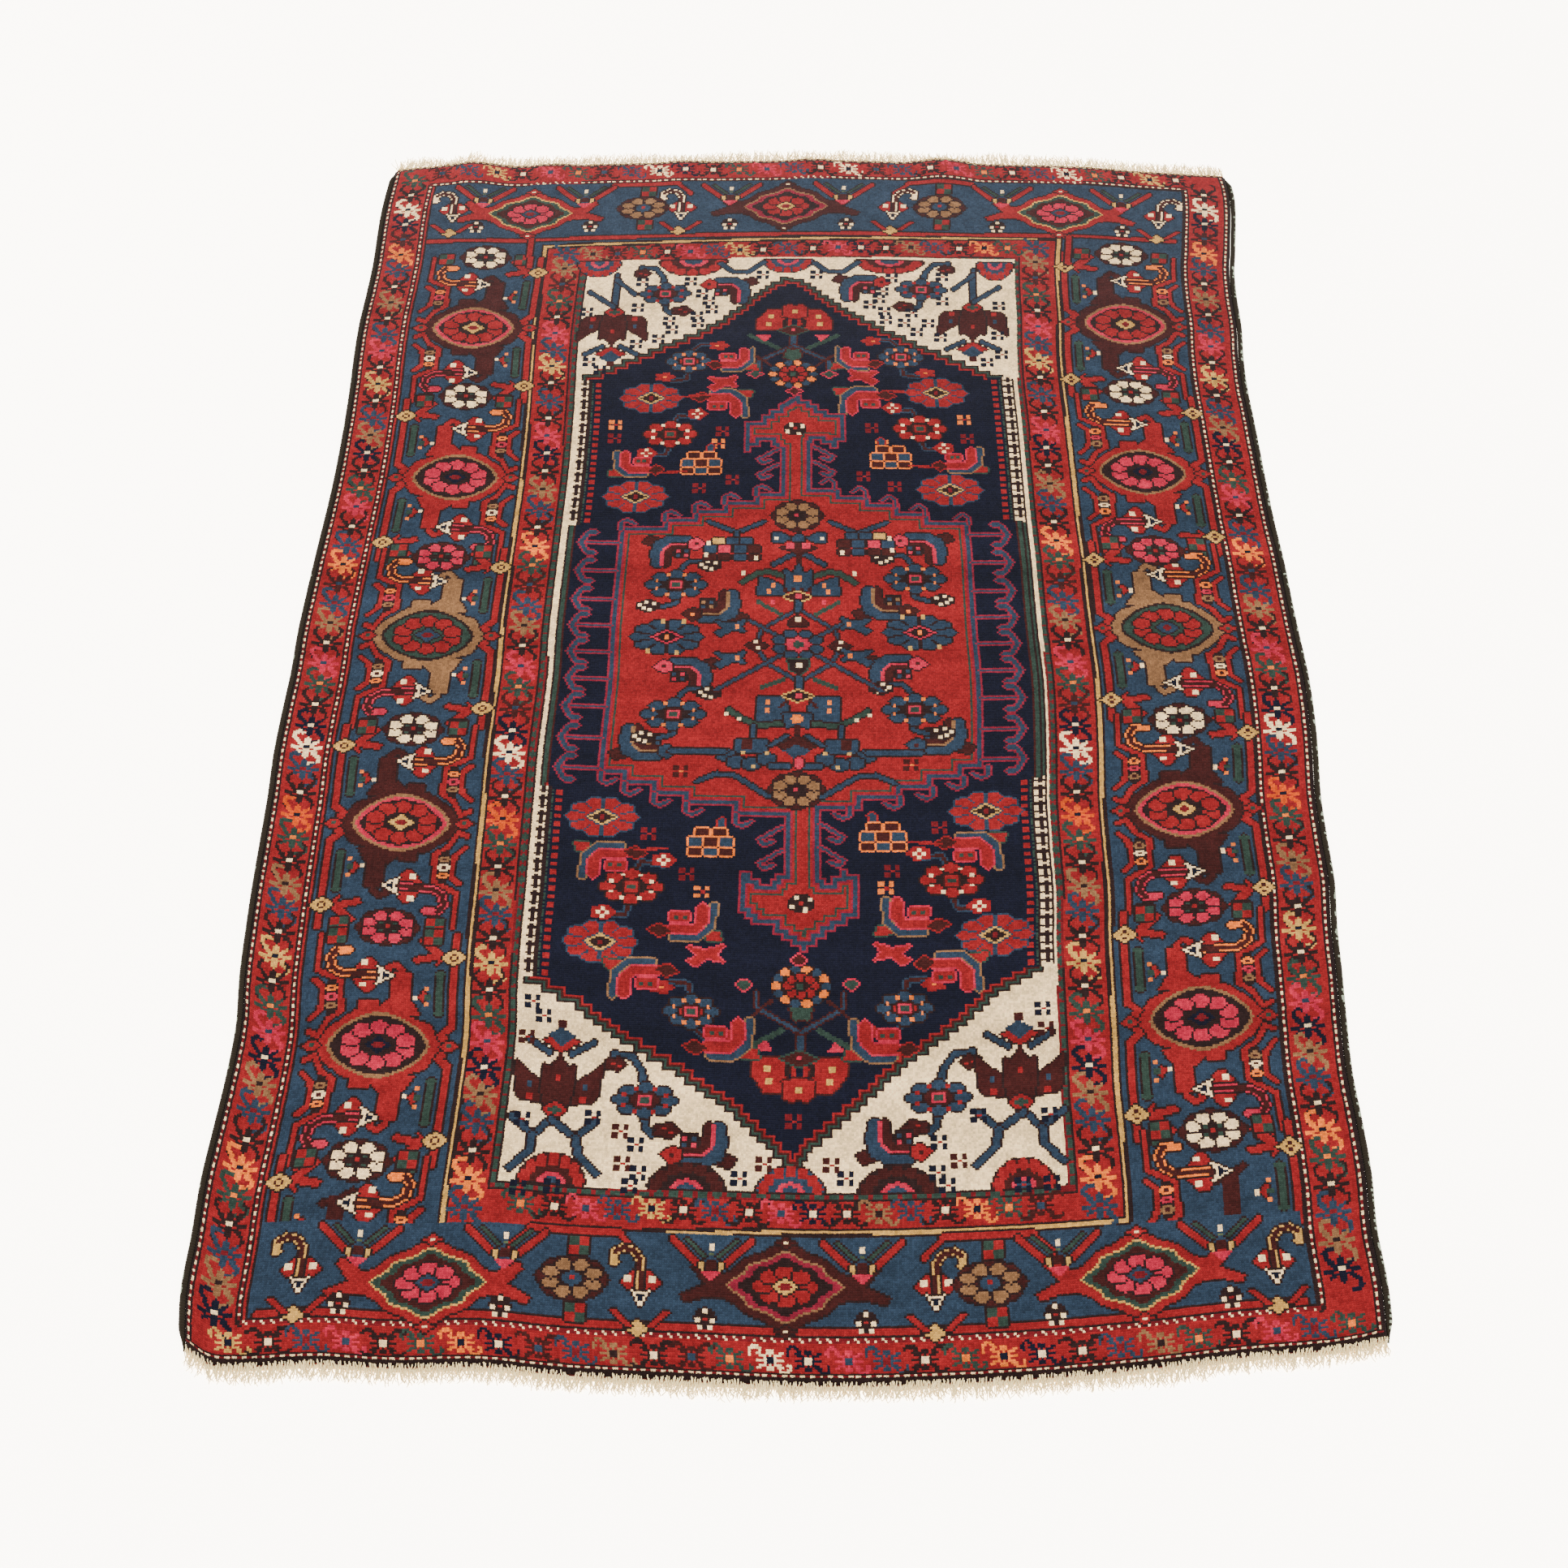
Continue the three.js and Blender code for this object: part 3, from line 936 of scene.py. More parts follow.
def bird_palmette(pen):
    """The maroon three-lobed palmette of a spandrel, with its stem, bars and small diamond."""
    wing = ((5, -7), (16, -5), (18, -2), (19, 14), (15, 10), (8, 4))
    for side in (-1, 1):
        pen.shape([(x * side, y) for x, y in wing], "maroon")
        pen.dot(11.5 * side, -4, "red", 2.6)
        pen.dot(12 * side, 2, "blue", 2.6)
        pen.line(((5 * side, 18), (14 * side, 24)), 2.4, "blue")
    pen.shape(((-5, -9), (5, -9), (7, 0), (7, 13), (4, 11), (0, 17), (-4, 11), (-7, 13), (-7, 0)), "maroon")
    pen.line(((0, 10), (0, 20)), 1.6, "maroon", None)
    pen.dot(0, 6, "red", 2.6)
    pen.lozenge(0, -9.5, 6, 4.4, "red")
    pen.lozenge(0, -9.5, 3.4, 2.2, "green", None)
    pen.shape(((-8, 24), (0, 18), (8, 24), (0, 29)), "red")
    pen.shape(((-6, 27), (0, 21), (6, 27), (0, 31)), "blue", None)
    pen.dot(0, 32, "maroon", 4)


# Half flowers: place across, half width, height, and the dyes of petals and ground.
FAR_HALF_FLOWERS = (
    (178, 19, 12, "red", "maroon"),
    (288, 19, 10, "red", "maroon"),
    (231, 14, 10, "red", "blue"),
    (125, 12, 12, "red", "blue"),
    (347, 10, 14, "red", "blue"),
)
NEAR_HALF_FLOWERS = (
    (198, 16, 12, "maroon", "dark"),
    (285, 16, 12, "maroon", "dark"),
    (241, 14, 12, "red", "blue"),
    (142, 14, 14, "red", "maroon"),
    (337, 13, 14, "red", "maroon"),
)


def half_flower(pen, rx, ry, petal, ground):
    """A flower that the ivory ground's edge cuts in half."""
    pen.shape(arc(0, 0, rx, ry, 0, 180), ground)
    for index in range(7):
        turn = math.radians(180 * (index + 0.5) / 7)
        pen.oval(rx * 0.82 * math.cos(turn), ry * 0.82 * math.sin(turn), rx * 0.17, ry * 0.24, petal, None)
    pen.shape(arc(0, 0, rx * 0.42, ry * 0.42, 0, 180), "pink", None)
    pen.shape(arc(0, 0, rx * 0.26, ry * 0.26, 0, 180), "blue", None)


def ivory_corners(chart):
    for side in sides(chart, ((164, 113), (306, 109)), ((178, 615), (303, 612))):
        side.line(((-15, -22), (-7, -21), (-2, -14), (0, 0), (1, 13), (4, 16)), 2.6, "blue")
        side.oval(-14, -17, 4.4, 3, "maroon", "dark", petals=5, depth=0.12)
        side.oval(10, 14, 5, 3.6, "maroon", "dark", petals=5, depth=0.12)
        side.dots(((-15, -17), (-12, -16), (9, 13), (12, 15)), "red", 1.8)
        square_flower(side, 14.5, 8.6, "blue", "maroon", "red", "pink")
    for side in sides(chart, ((137, 137), (334, 132))):
        bird_palmette(side)
        side.line(((0, -14), (-1, -40)), 2.8, "blue")
        side.line(((-1, -36), (10, -24)), 2.4, "blue")
        side.line(((-15, -26), (-1, -14)), 2.4, "blue")
    for side in sides(chart, ((140, 612), (338, 606)), down=-1):
        bird_palmette(side)
        side.line(((-1, -14), (-8, -22), (-18, -14)), 2.8, "blue")
        side.line(((-8, -22), (-9, -30), (-16, -38)), 3, "blue")
        side.line(((-1, -14), (10, -22), (18, -14)), 2.8, "blue")
        side.line(((10, -22), (12, -30), (20, -38)), 3, "blue")
    for colours, places, across, down in IVORY_LEAVES:
        for side in sides(chart, places, across=across, down=down):
            bent_leaf(side, *colours)
    for x, *look in FAR_HALF_FLOWERS:
        half_flower(field_pen(chart, x, 86), *look)
    for x, *look in NEAR_HALF_FLOWERS:
        half_flower(Pen(chart, x, 658, down=-1), *look)
    for x in (205, 258):
        field_pen(chart, x, 86).line(((-12, 2), (-5, 9), (4, 10), (13, 1)), 2.2, "blue")
    for dye, places in FOUR_DOTS.items():
        for x, y in places:
            four_dots(field_pen(chart, x, y), 0, 0, dye)


def navy_flowers(chart):
    fan_palmette(field_pen(chart, 236.5, 130), "red", "straw")
    fan_palmette(field_pen(chart, 243.5, 606, down=-1), "red", "straw")
    stems_crossing(field_pen(chart, 237, 155))
    stems_crossing(field_pen(chart, 243.5, 580, down=-1))
    for x, y, down in ((236.5, 161, 1), (244, 571, -1)):
        tulip = field_pen(chart, x, y, down=down)
        tulip.shape(((-5, 3), (-3, -4), (0, -2), (3, -4), (5, 3), (0, 6)), "green", "maroon")
    for x, y in ((236.5, 177), (244, 557)):
        many_coloured_flower(field_pen(chart, x, y))
    for x, y in ((237, 190), (243, 544), (216, 177), (256, 177), (219, 557), (266, 556)):
        field_pen(chart, x, y).lozenge(0, 0, 3.6, 3, "green" if abs(x - 240) > 10 else "maroon", "pink")
    for side in sides(chart, *BIG_FLOWERS):
        lobed_flower(side, 15.5, 10.5, "red", "blue", "straw", "crimson")
    for side in sides(chart, *SMALL_FLOWERS):
        side.line(((14, -12), (4, -14), (1, -8), (0, 8), (-2, 15), (-9, 15)), 1.6, "maroon", "blue")
        square_flower(side, 15, 9.5, "red", "dark", "ivory", "red")
        for x, y in ((14, -15), (-12, 14)):
            side.oval(x, y, 5.4, 4, "red", None, petals=5, depth=0.1)
            side.dots(((x - 2.4, y), (x + 2.4, y), (x, y - 2.2), (x, y + 2.2)), "ivory", 1.9)
    for places, down in ((((180, 167), (295, 163)), 1), (((196, 571), (289, 568)), -1)):
        for side in sides(chart, places, down=down):
            side.line(((14, -13), (6, -13), (1, -8), (-1, 14), (-9, 15)), 1.6, "maroon", "blue")
            square_flower(side, 12.5, 8.5, "blue", "red", "peach", "pink")
            side.oval(16, -12, 5, 3.6, "red", None, petals=5, depth=0.12)
            side.oval(-13, 12, 5, 3.6, "red", None, petals=5, depth=0.12)
            side.dots(((15, -12), (-13, 12)), "peach", 1.8)
    for size, places, across, down in NAVY_GROUND_LEAVES:
        for side in sides(chart, places, across=across, down=down):
            pink_leaf(side, size)
    for side in sides(chart, ((188, 243), (287, 238)), ((202, 483), (280, 479))):
        side.line(((4, -6), (5, -12)), 3, "blue", "red")
        block_flower(side, ("maroon maroon", "blue maroon blue", "maroon blue maroon"), "peach")
    for side in sides(chart, ((166, 250), (311, 245)), ((168, 488), (306, 483)), ((176, 194), (300, 190))):
        side.line(((0, 0), (14, -1)), 1.4, "red", None)
    for side in sides(chart, ((199, 183), (274, 178)), ((202, 542), (284, 540))):
        winged_leaf(side, "red", "pink")


def red_flowers(chart):
    for colours, places, across, down in RED_GROUND_LEAVES:
        for side in sides(chart, places, across=across, down=down):
            bent_leaf(side, *colours)
    for side in sides(chart, *BLUE_SQUARE_FLOWERS):
        side.line(((13, -15), (6, -16), (0, -8), (1, 12), (-7, 15)), 2, "blue")
        square_flower(side, 15.5, 9.5, "blue", "dark", "peach", "pink")
        for x, y in ((16, -13), (-13, 14)):
            side.oval(x, y, 6.4, 4.2, "dark", None)
            five = ((x - 4, y), (x - 1, y - 2.4), (x + 3, y - 1), (x + 1, y + 2.4), (x - 2, y + 2))
            side.dots(five, "ivory")
    for side in sides(chart, ((176, 361), (298, 357))):
        lobed_flower(side, 17, 10.5, "blue", "dark", "pink", "peach")
        side.dots(((-2, -10), (8, -10), (-9, 9), (5, 10)), "straw", 2.6)
    for side in sides(chart, ((239, 280), (238, 280))):
        side.line(((45, 4), (30, 12), (16, 4)), 2.2, "blue")
        side.line(((30, 12), (30, 18)), 2.6, "blue")
    for side in sides(chart, ((206, 303), (273, 299))):
        block_flower(side, ("straw blue blue", "blue pink blue maroon", "maroon maroon blue maroon"), "dark")
        side.dots(((-12, -4), (-13, 4), (12, 6)), "ivory", 2.4)
    for x, y in ((238.5, 280), (240.5, 453)):
        field_pen(chart, x, y).rosette(12.6, 10, "camel", "dark", "pink")
    for side in sides(chart, ((240, 453), (240, 453))):
        side.line(((46, -4), (37, -9), (28, -8), (12, 4)), 2.2, "blue")
    middle_column(chart)


def middle_column(chart):
    """The flowers and the lattice on the medallion's own middle line."""
    for side in sides(chart, ((239, 0), (240, 0))):
        side.shape(((-3, 295), (-8, 292), (-13, 292), (-13, 299), (-8, 299)), "blue")
        side.dot(-11, 295.5, "ivory", 2.8)
        side.line(((-2, 306), (-12, 313)), 2.4, "blue")
        side.shape(((-19, 321), (-12, 324), (-6, 328), (-6, 334), (-20, 334)), "blue")
        side.line(((-7, 321), (-14, 318), (-20, 319), (-27, 325)), 3, "green", "maroon")
        side.dot(-27, 319, "ivory", 2.4)
        side.dots(((-12, 327), (-14, 331)), "peach", 2.4)
        side.line(((-19, 338), (-8, 346)), 2.4, "green", None)
        side.dot(-12, 338, "pink", 2.4)
        side.line(((0, 343), (-17, 355), (-20, 366)), 1.5, "blue", "maroon")
        side.line(((-23, 350), (-9, 360)), 1.6, "blue", "maroon")
        side.line(((-20, 366), (-15, 377), (0, 388)), 1.8, "blue", "maroon")
        side.line(((-7, 371), (-39, 394)), 1.8, "blue", "maroon")
        side.shape(((-25, 366), (-19, 362), (-14, 366), (-19, 370)), "maroon")
        side.dots(((-20, 364), (-19, 368)), "ivory", 2)
        side.shape(((-19, 398), (-6, 397), (-3, 408), (-9, 415), (-19, 415)), "blue")
        side.dots(((-14, 401), (-14, 406)), "peach", 2.4)
        side.line(((-4, 398), (-8, 404)), 1.6, "maroon", None)
        side.line(((-6, 414), (-18, 415), (-26, 411), (-32, 406)), 2.8, "green", "dark")
        side.dots(((-33, 409), (-27, 412)), "ivory", 2)
        side.line(((-17, 392), (-7, 387)), 2.4, "green", None)
        side.line(((-20, 416), (-20, 425)), 2.6, "blue")
        side.box(-28, 424, -13, 432, "blue", "dark")
        for x, y in ((-32, 433), (-27, 437), (-20, 438), (-13, 435)):
            side.oval(x, y, 4.4, 3.6, "blue")
        side.box(-25, 424, -20, 430, "maroon")
        side.dots(((-24, 432), (-13, 432), (-19, 440)), "straw", 2)
        side.line(((-32, 431), (-58, 431)), 2, "blue")
        side.line(((-4, 421), (-12, 427)), 2, "blue")
        side.line(((-3, 439), (-11, 439)), 2.6, "blue")
    for side in sides(chart, ((207, 354), (267, 352)), ((207, 374), (267, 372))):
        winged_leaf(side, "blue")
        side.dot(3, 0, "peach", 2.4)
    pen = Pen(chart, 239.3, 0)
    pen.oval(0, 296, 3, 3.4, "blue")
    pen.lozenge(0, 302, 9, 4, "maroon")
    pen.dots(((-4, 301), (4, 301)), "pink", 4)
    pen.box(-1.5, 305, 1.5, 313, "maroon")
    pen.shape(((-6, 331), (-7, 316), (-3, 319), (0, 312), (3, 319), (7, 316), (6, 331)), "blue")
    pen.dot(0, 323, "peach", 4)
    pen.dots(((-6, 330), (-2, 330), (2, 330), (6, 330)), "maroon", 2.2)
    pen.lozenge(0, 334.5, 7, 3.4, "maroon", "straw")
    pen.dot(0, 334.5, "pink", 3)
    pen.line(((0, 338), (0, 343)), 3, "blue")
    pen.shape(((-5, 354), (-4, 350), (0, 346), (4, 350), (5, 354)), "maroon")
    pen.dot(0, 349, "ivory", 3)
    pen.dots(((-4.5, 357), (4.5, 357)), "peach", 2.6)
    pen.ring(365, 13, 9.5, 8, "blue", start=22.5, reach=0.74, size=0.23)
    pen.oval(0, 365, 6, 4.6, "pink", "maroon", petals=8, depth=0.12)
    pen.oval(0, 365, 2.6, 2.2, "green", None)
    pen.shape(((-5, 375), (5, 375), (4, 381), (0, 384), (-4, 381)), "dark", "green")
    pen.dot(0, 378, "ivory", 2.8)
    pen.line(((0, 386), (0, 393)), 2.8, "blue")
    pen.lozenge(0, 397, 7, 3.6, "dark", "straw")
    pen.dot(0, 397, "pink", 3)
    pen.shape(((-7, 408), (7, 408), (5, 417), (0, 414), (-5, 417)), "blue")
    pen.oval(0, 411, 3, 2.6, "peach", None)
    pen.box(-1.5, 415, 2, 422, "maroon")
    pen.lozenge(0.5, 427, 9, 6, "maroon")
    pen.shape(((-6, 430), (0.5, 426), (7, 430), (0.5, 435)), "blue", None)
    pen.oval(1.5, 437, 2.2, 3.4, "pink", "maroon")


def pendant_flowers(chart):
    for x, y in ((237, 218), (243, 515)):
        pen = field_pen(chart, x, y)
        pen.oval(0, 0, 6.4, 5, "dark", None)
        for px, py in ((-4, 2), (4, -2), (-2, -3), (2, 3.4)):
            pen.dot(px, py, "ivory", 2.2)
        pen.dot(0, 0, "red", 2)


def draw_chart():
    chart = np.full((ROWS, COLUMNS), DYE_NUMBERS["red"])
    frame_lines(chart)
    guards(chart)
    for place in CORNER_LEAVES:
        corner_leaf(Pen(chart), *place)
    side_border(chart, UNIT_ACROSS, 1, lambda row: row)
    side_border(chart, RIGHT_ACROSS, -1, right_row)
    for facts in END_BORDERS:
        end_border(chart, facts)
    field_ground(chart)
    ivory_corners(chart)
    navy_flowers(chart)
    red_medallion(chart)
    pendant_flowers(chart)
    red_flowers(chart)
    for x, y in ((187, 443), (293, 438)):
        four_dots(Pen(chart), x, y, "maroon", "peach")
    return chart


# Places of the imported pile, read from the frame

CAD_COLUMNS = 45
CAD_ROWS = 35
PILE_THICKNESS = 0.008
SIDE_DROP = 0.002
END_DROP = 0.0036
RIM_KNOTS = 3
END_TUCK = 0.004
TUCK_ROWS = 8
LENGTH_JITTER = 0.00035
HEIGHT_JITTER = 0.00022
JITTER_SEED = 11

# The cloth is made one unit wide, so its rim is at 0.5. Its underside has a smaller grid inside that rim.
UNDER_GRID = 0.49
UNDER_RIM = 0.495


def vertex_places(mesh):
    places = np.empty(len(mesh.vertices) * 3)
    mesh.vertices.foreach_get("co", places)
    return places.reshape(-1, 3)


def read_pile_grid():
    """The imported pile's top points, one row for each column from left to right, near to far in each."""
    points = vertex_places(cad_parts["pile_body"].data)
    points = np.unique(points.round(6), axis=0)
    points = points[np.lexsort((points[:, 2], points[:, 1], points[:, 0]))]
    top = points.reshape(-1, 2, 3)[:, 1]
    grid = top.reshape(CAD_COLUMNS, CAD_ROWS, 3)
    return np.array([column[np.argsort(column[:, 1])] for column in grid])


def smooth_through(stations, values, places):
    """A smooth curve through the values at the stations, taken at places. Values may be rows of points."""
    slopes = np.gradient(values, stations, axis=0)
    index = np.clip(np.searchsorted(stations, places, side="right") - 1, 0, len(stations) - 2)
    shape = (-1,) + (1,) * (values.ndim - 1)
    step = (stations[index + 1] - stations[index]).reshape(shape)
    part = (places - stations[index]).reshape(shape) / step
    back = 1 - part
    return (
        (1 + 2 * part) * back**2 * values[index]
        + part * back**2 * step * slopes[index]
        + part**2 * (3 - 2 * part) * values[index + 1]
        - part**2 * back * step * slopes[index + 1]
    )


pile_grid = read_pile_grid()
across_stations = np.linspace(0, 1, CAD_COLUMNS)
mean_length = pile_grid[:, :, 1].mean(axis=0)
along_stations = (mean_length - mean_length[0]) / (mean_length[-1] - mean_length[0])


def pile_points(across, along):
    """Top points of the pile at every pair of the shares across and along, as [across, along, xyz]."""
    columns = smooth_through(across_stations, pile_grid, across)
    return smooth_through(along_stations, columns.swapaxes(0, 1), along).swapaxes(0, 1)


# Meshes

def placed(name, data):
    thing = bpy.data.objects.new(name, data)
    bpy.context.scene.collection.objects.link(thing)
    return thing


def new_piece(name, mesh, material):
    piece = placed(name, mesh)
    mesh.materials.append(material)
    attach(piece, "root")
    return piece


def mesh_from(bm, name):
    mesh = bpy.data.meshes.new(name)
    bm.to_mesh(mesh)
    bm.free()
    return mesh


def flat_grid(name, across, along):
    """A flat grid of one unit each way."""
    bm = bmesh.new()
    bmesh.ops.create_grid(bm, x_segments=across, y_segments=along, size=0.5)
    return mesh_from(bm, name)


def corner_vertices(mesh):
    """The number of the vertex at each corner of each face."""
    corners = np.empty(len(mesh.loops), dtype=int)
    mesh.loops.foreach_get("vertex_index", corners)
    return corners


def move_vertices(mesh, places):
    mesh.vertices.foreach_set("co", places.ravel())
    mesh.update()


def write_uv(mesh, name, across, along):
    """Writes a UV map from one pair of values for each vertex."""
    corners = corner_vertices(mesh)
    layer = mesh.uv_layers.new(name=name)
    layer.data.foreach_set("uv", np.column_stack((across[corners], along[corners])).ravel())


def shade_smooth(mesh):
    mesh.polygons.foreach_set("use_smooth", np.ones(len(mesh.polygons), dtype=bool))


def cloth_shell():
    """A flat cloth of one unit, finely divided on top at height 0 and coarsely underneath at height -1."""
    bm = bmesh.new()
    faces_across = COLUMNS // KNOTS_PER_FACE
    faces_along = ROWS // KNOTS_PER_FACE
    bmesh.ops.create_grid(bm, x_segments=faces_across, y_segments=faces_along, size=0.5)
    rim = [edge for edge in bm.edges if edge.is_boundary]
    wall = bmesh.ops.extrude_edge_only(bm, edges=rim)["geom"]
    wall_foot = [item for item in wall if isinstance(item, bmesh.types.BMVert)]
    bmesh.ops.translate(bm, vec=(0, 0, -1), verts=wall_foot)
    foot_rim = [edge for edge in bm.edges if edge.is_boundary]
    under = bmesh.ops.create_grid(bm, x_segments=CAD_COLUMNS, y_segments=CAD_ROWS, size=UNDER_GRID)["verts"]
    bmesh.ops.translate(bm, vec=(0, 0, -1), verts=under)
    under_rim = [edge for edge in bm.edges if edge.is_boundary and edge not in foot_rim]
    bmesh.ops.triangle_fill(bm, use_beauty=True, normal=(0, 0, -1), edges=foot_rim + under_rim)
    bmesh.ops.recalc_face_normals(bm, faces=bm.faces)
    return mesh_from(bm, "knotted_pile")


def face_middles(mesh, places):
    """The middle of each face, from one place for each vertex."""
    corners = corner_vertices(mesh)
    starts = np.empty(len(mesh.polygons), dtype=int)
    mesh.polygons.foreach_get("loop_start", starts)
    totals = np.diff(np.append(starts, len(corners)))
    return np.add.reduceat(places[corners], starts, axis=0) / totals[:, None]


def write_knots(mesh, flat, chart):
    """Stores the four knots of each top face as the four channels of one colour."""
    middles = face_middles(mesh, flat)
    is_top = middles[:, 2] > -0.01
    column = ((middles[:, 0] + 0.5) * COLUMNS / KNOTS_PER_FACE).astype(int)[is_top] * KNOTS_PER_FACE
    row = ((0.5 - middles[:, 1]) * ROWS / KNOTS_PER_FACE).astype(int)[is_top] * KNOTS_PER_FACE
    knots = np.full((len(middles), 4), dye_share(DYE_NUMBERS["back"]))
    for channel, (down, right) in enumerate(((0, 0), (0, 1), (1, 0), (1, 1))):
        knots[is_top, channel] = dye_share(chart[row + down, column + right])
    attribute = mesh.attributes.new("knots", "FLOAT_COLOR", "FACE")
    attribute.data.foreach_set("color", knots.ravel())


def knotted_pile(chart):
    mesh = cloth_shell()
    flat = vertex_places(mesh)
    across = flat[:, 0] + 0.5
    along = flat[:, 1] + 0.5
    write_knots(mesh, flat, chart)
    write_uv(mesh, "chart", across * COLUMNS, (1 - along) * ROWS)
    write_uv(mesh, "OFBake", across, along)
    columns = np.rint(across * COLUMNS / KNOTS_PER_FACE).astype(int)
    rows = np.rint(along * ROWS / KNOTS_PER_FACE).astype(int)
    fine = pile_points(
        np.linspace(0, 1, COLUMNS // KNOTS_PER_FACE + 1),
        np.linspace(0, 1, ROWS // KNOTS_PER_FACE + 1),
    )
    places = fine[columns, rows]
    is_under = flat[:, 2] < -0.5
    inner_under = is_under & (np.abs(flat[:, :2]).max(axis=1) < UNDER_RIM)
    places[inner_under] = under_points(across[inner_under], along[inner_under])
    side_rim = np.minimum(across, 1 - across) * COLUMNS
    end_rim = np.minimum(along, 1 - along) * ROWS
    rim = np.minimum(side_rim, end_rim)
    drop = np.maximum(
        SIDE_DROP * (1 - soft_step(side_rim / RIM_KNOTS)), END_DROP * (1 - soft_step(end_rim / RIM_KNOTS))
    )
    noise = np.random.default_rng(JITTER_SEED).uniform(-1, 1, places.shape)
    is_loose = ~is_under & (rim > 0.5)
    places[is_loose, :2] += noise[is_loose, :2] * LENGTH_JITTER
    places[:, 1] += END_TUCK * (1 - soft_step(along * ROWS / TUCK_ROWS))
    places[:, 2] += np.where(is_under, -PILE_THICKNESS, noise[:, 2] * HEIGHT_JITTER - drop)
    move_vertices(mesh, places)
    shade_smooth(mesh)
    return mesh


def under_points(across, along):
    """Points of the pile at pairs of shares, one after another."""
    columns, column_index = np.unique(across.round(6), return_inverse=True)
    rows, row_index = np.unique(along.round(6), return_inverse=True)
    return pile_points(columns, rows)[column_index, row_index]


# Side cords

CORD_WIDTH = 0.008
CORD_HEIGHT = 0.0075
PIECE_GAP = 0.0003
CORD_RINGS = 1500
CORD_SIDES = 10
WRAPS = 620
WRAP_RIDGE = 0.0004
WRAP_SLANT = 0.9
CORD_END_SIZE = 0.35
CORD_TAPER = 0.014


def side_cord(name, side):
    """A grid rolled up into an overcast cord beside one edge of the pile. side is -1 on the left."""
    mesh = flat_grid(name, CORD_SIDES, CORD_RINGS)
    flat = vertex_places(mesh)
    around = flat[:, 0] + 0.5
    along = flat[:, 1] + 0.5
    write_uv(mesh, "wraps", around, along * WRAPS)
    write_uv(mesh, "OFBake", around, along)
    shares = np.linspace(0, 1, CORD_RINGS + 1)
    edge = pile_points(np.array([0.5 + side / 2]), shares)[0]
    line = edge[np.rint(along * CORD_RINGS).astype(int)]
    turn = 2 * math.pi * around * side - math.pi / 2
    ridge = np.abs(np.sin(math.pi * (along * WRAPS + WRAP_SLANT * around)))
    size = CORD_END_SIZE + (1 - CORD_END_SIZE) * soft_step(np.minimum(along, 1 - along) / CORD_TAPER)
    half_width = (CORD_WIDTH / 2 - WRAP_RIDGE * (1 - ridge)) * size
    half_height = (CORD_HEIGHT / 2 - WRAP_RIDGE * (1 - ridge)) * size
    x = line[:, 0] + side * (PIECE_GAP + CORD_WIDTH / 2 * size) + half_width * np.cos(turn)
    z = CORD_HEIGHT / 2 * size + half_height * np.sin(turn)
    move_vertices(mesh, np.column_stack((x, line[:, 1], np.maximum(z, WRAP_RIDGE))))
    close_tube(mesh)
    return mesh


def close_tube(mesh):
    """Joins the seam of a rolled grid and closes its two ends."""
    bm = bmesh.new()
    bm.from_mesh(mesh)
    bmesh.ops.remove_doubles(bm, verts=bm.verts, dist=1e-6)
    bmesh.ops.holes_fill(bm, edges=[edge for edge in bm.edges if edge.is_boundary])
    bmesh.ops.recalc_face_normals(bm, faces=bm.faces)
    bm.to_mesh(mesh)
    bm.free()
    shade_smooth(mesh)


# Warp fringes

STRIP_WIDTH = 0.005
STRIP_HEIGHT = 0.0028
STRIP_SIDES = 8
LAP = -0.003
LAPPED_HEIGHT = PILE_THICKNESS - END_DROP + 0.0012
STRIP_RINGS = 900
YARN_RADIUS = 0.00065
YARN_POINTS = 7
YARNS = 2100

# How the warp ends differ: shares of the usual length and curl, the spread of the lean, and the rest.
YARN_LENGTHS = (0.6, 1.15)
YARN_LEAN = 0.22
YARN_CURLS = (0.3, 1.3)
YARN_WAVES = (0.5, 1.4)
YARN_LAYERS = (0, 0.0024)
YARN_LOWEST = 1.6
YARN_THINNING = 0.45
ROOT_SCATTER = 0.0006
ROOT_HEIGHTS = (0.7, 1.2)

# The weft makes the strip's top swell and sink a little from ring to ring.
STRIP_SWELL = 0.12
STRIP_SWELL_TURN = 2.1
FRINGES = {
    "near": {"outward": -1, "along": 0, "tuck": END_TUCK, "length": 0.015, "curl": 0.0028},
    "far": {"outward": 1, "along": 1, "tuck": 0, "length": 0.026, "curl": 0.0022},
}

# Places where the fringe is longer or shorter than usual: middle, extra length and width.
TUFTS = {
    "near": ((-0.560, 0.003, 0.09), (0.060, -0.003, 0.16), (0.410, 0.004, 0.12)),
    "far": ((-0.565, -0.007, 0.04), (-0.525, 0.012, 0.04), (-0.180, -0.004, 0.12), (0.300, 0.004, 0.09)),
}


def tuft_extra(end, x):
    extra = 0
    for middle, more, width in TUFTS[end]:
        extra += more * (1 - soft_step(abs(x - middle) / (width / 2)))
    return extra


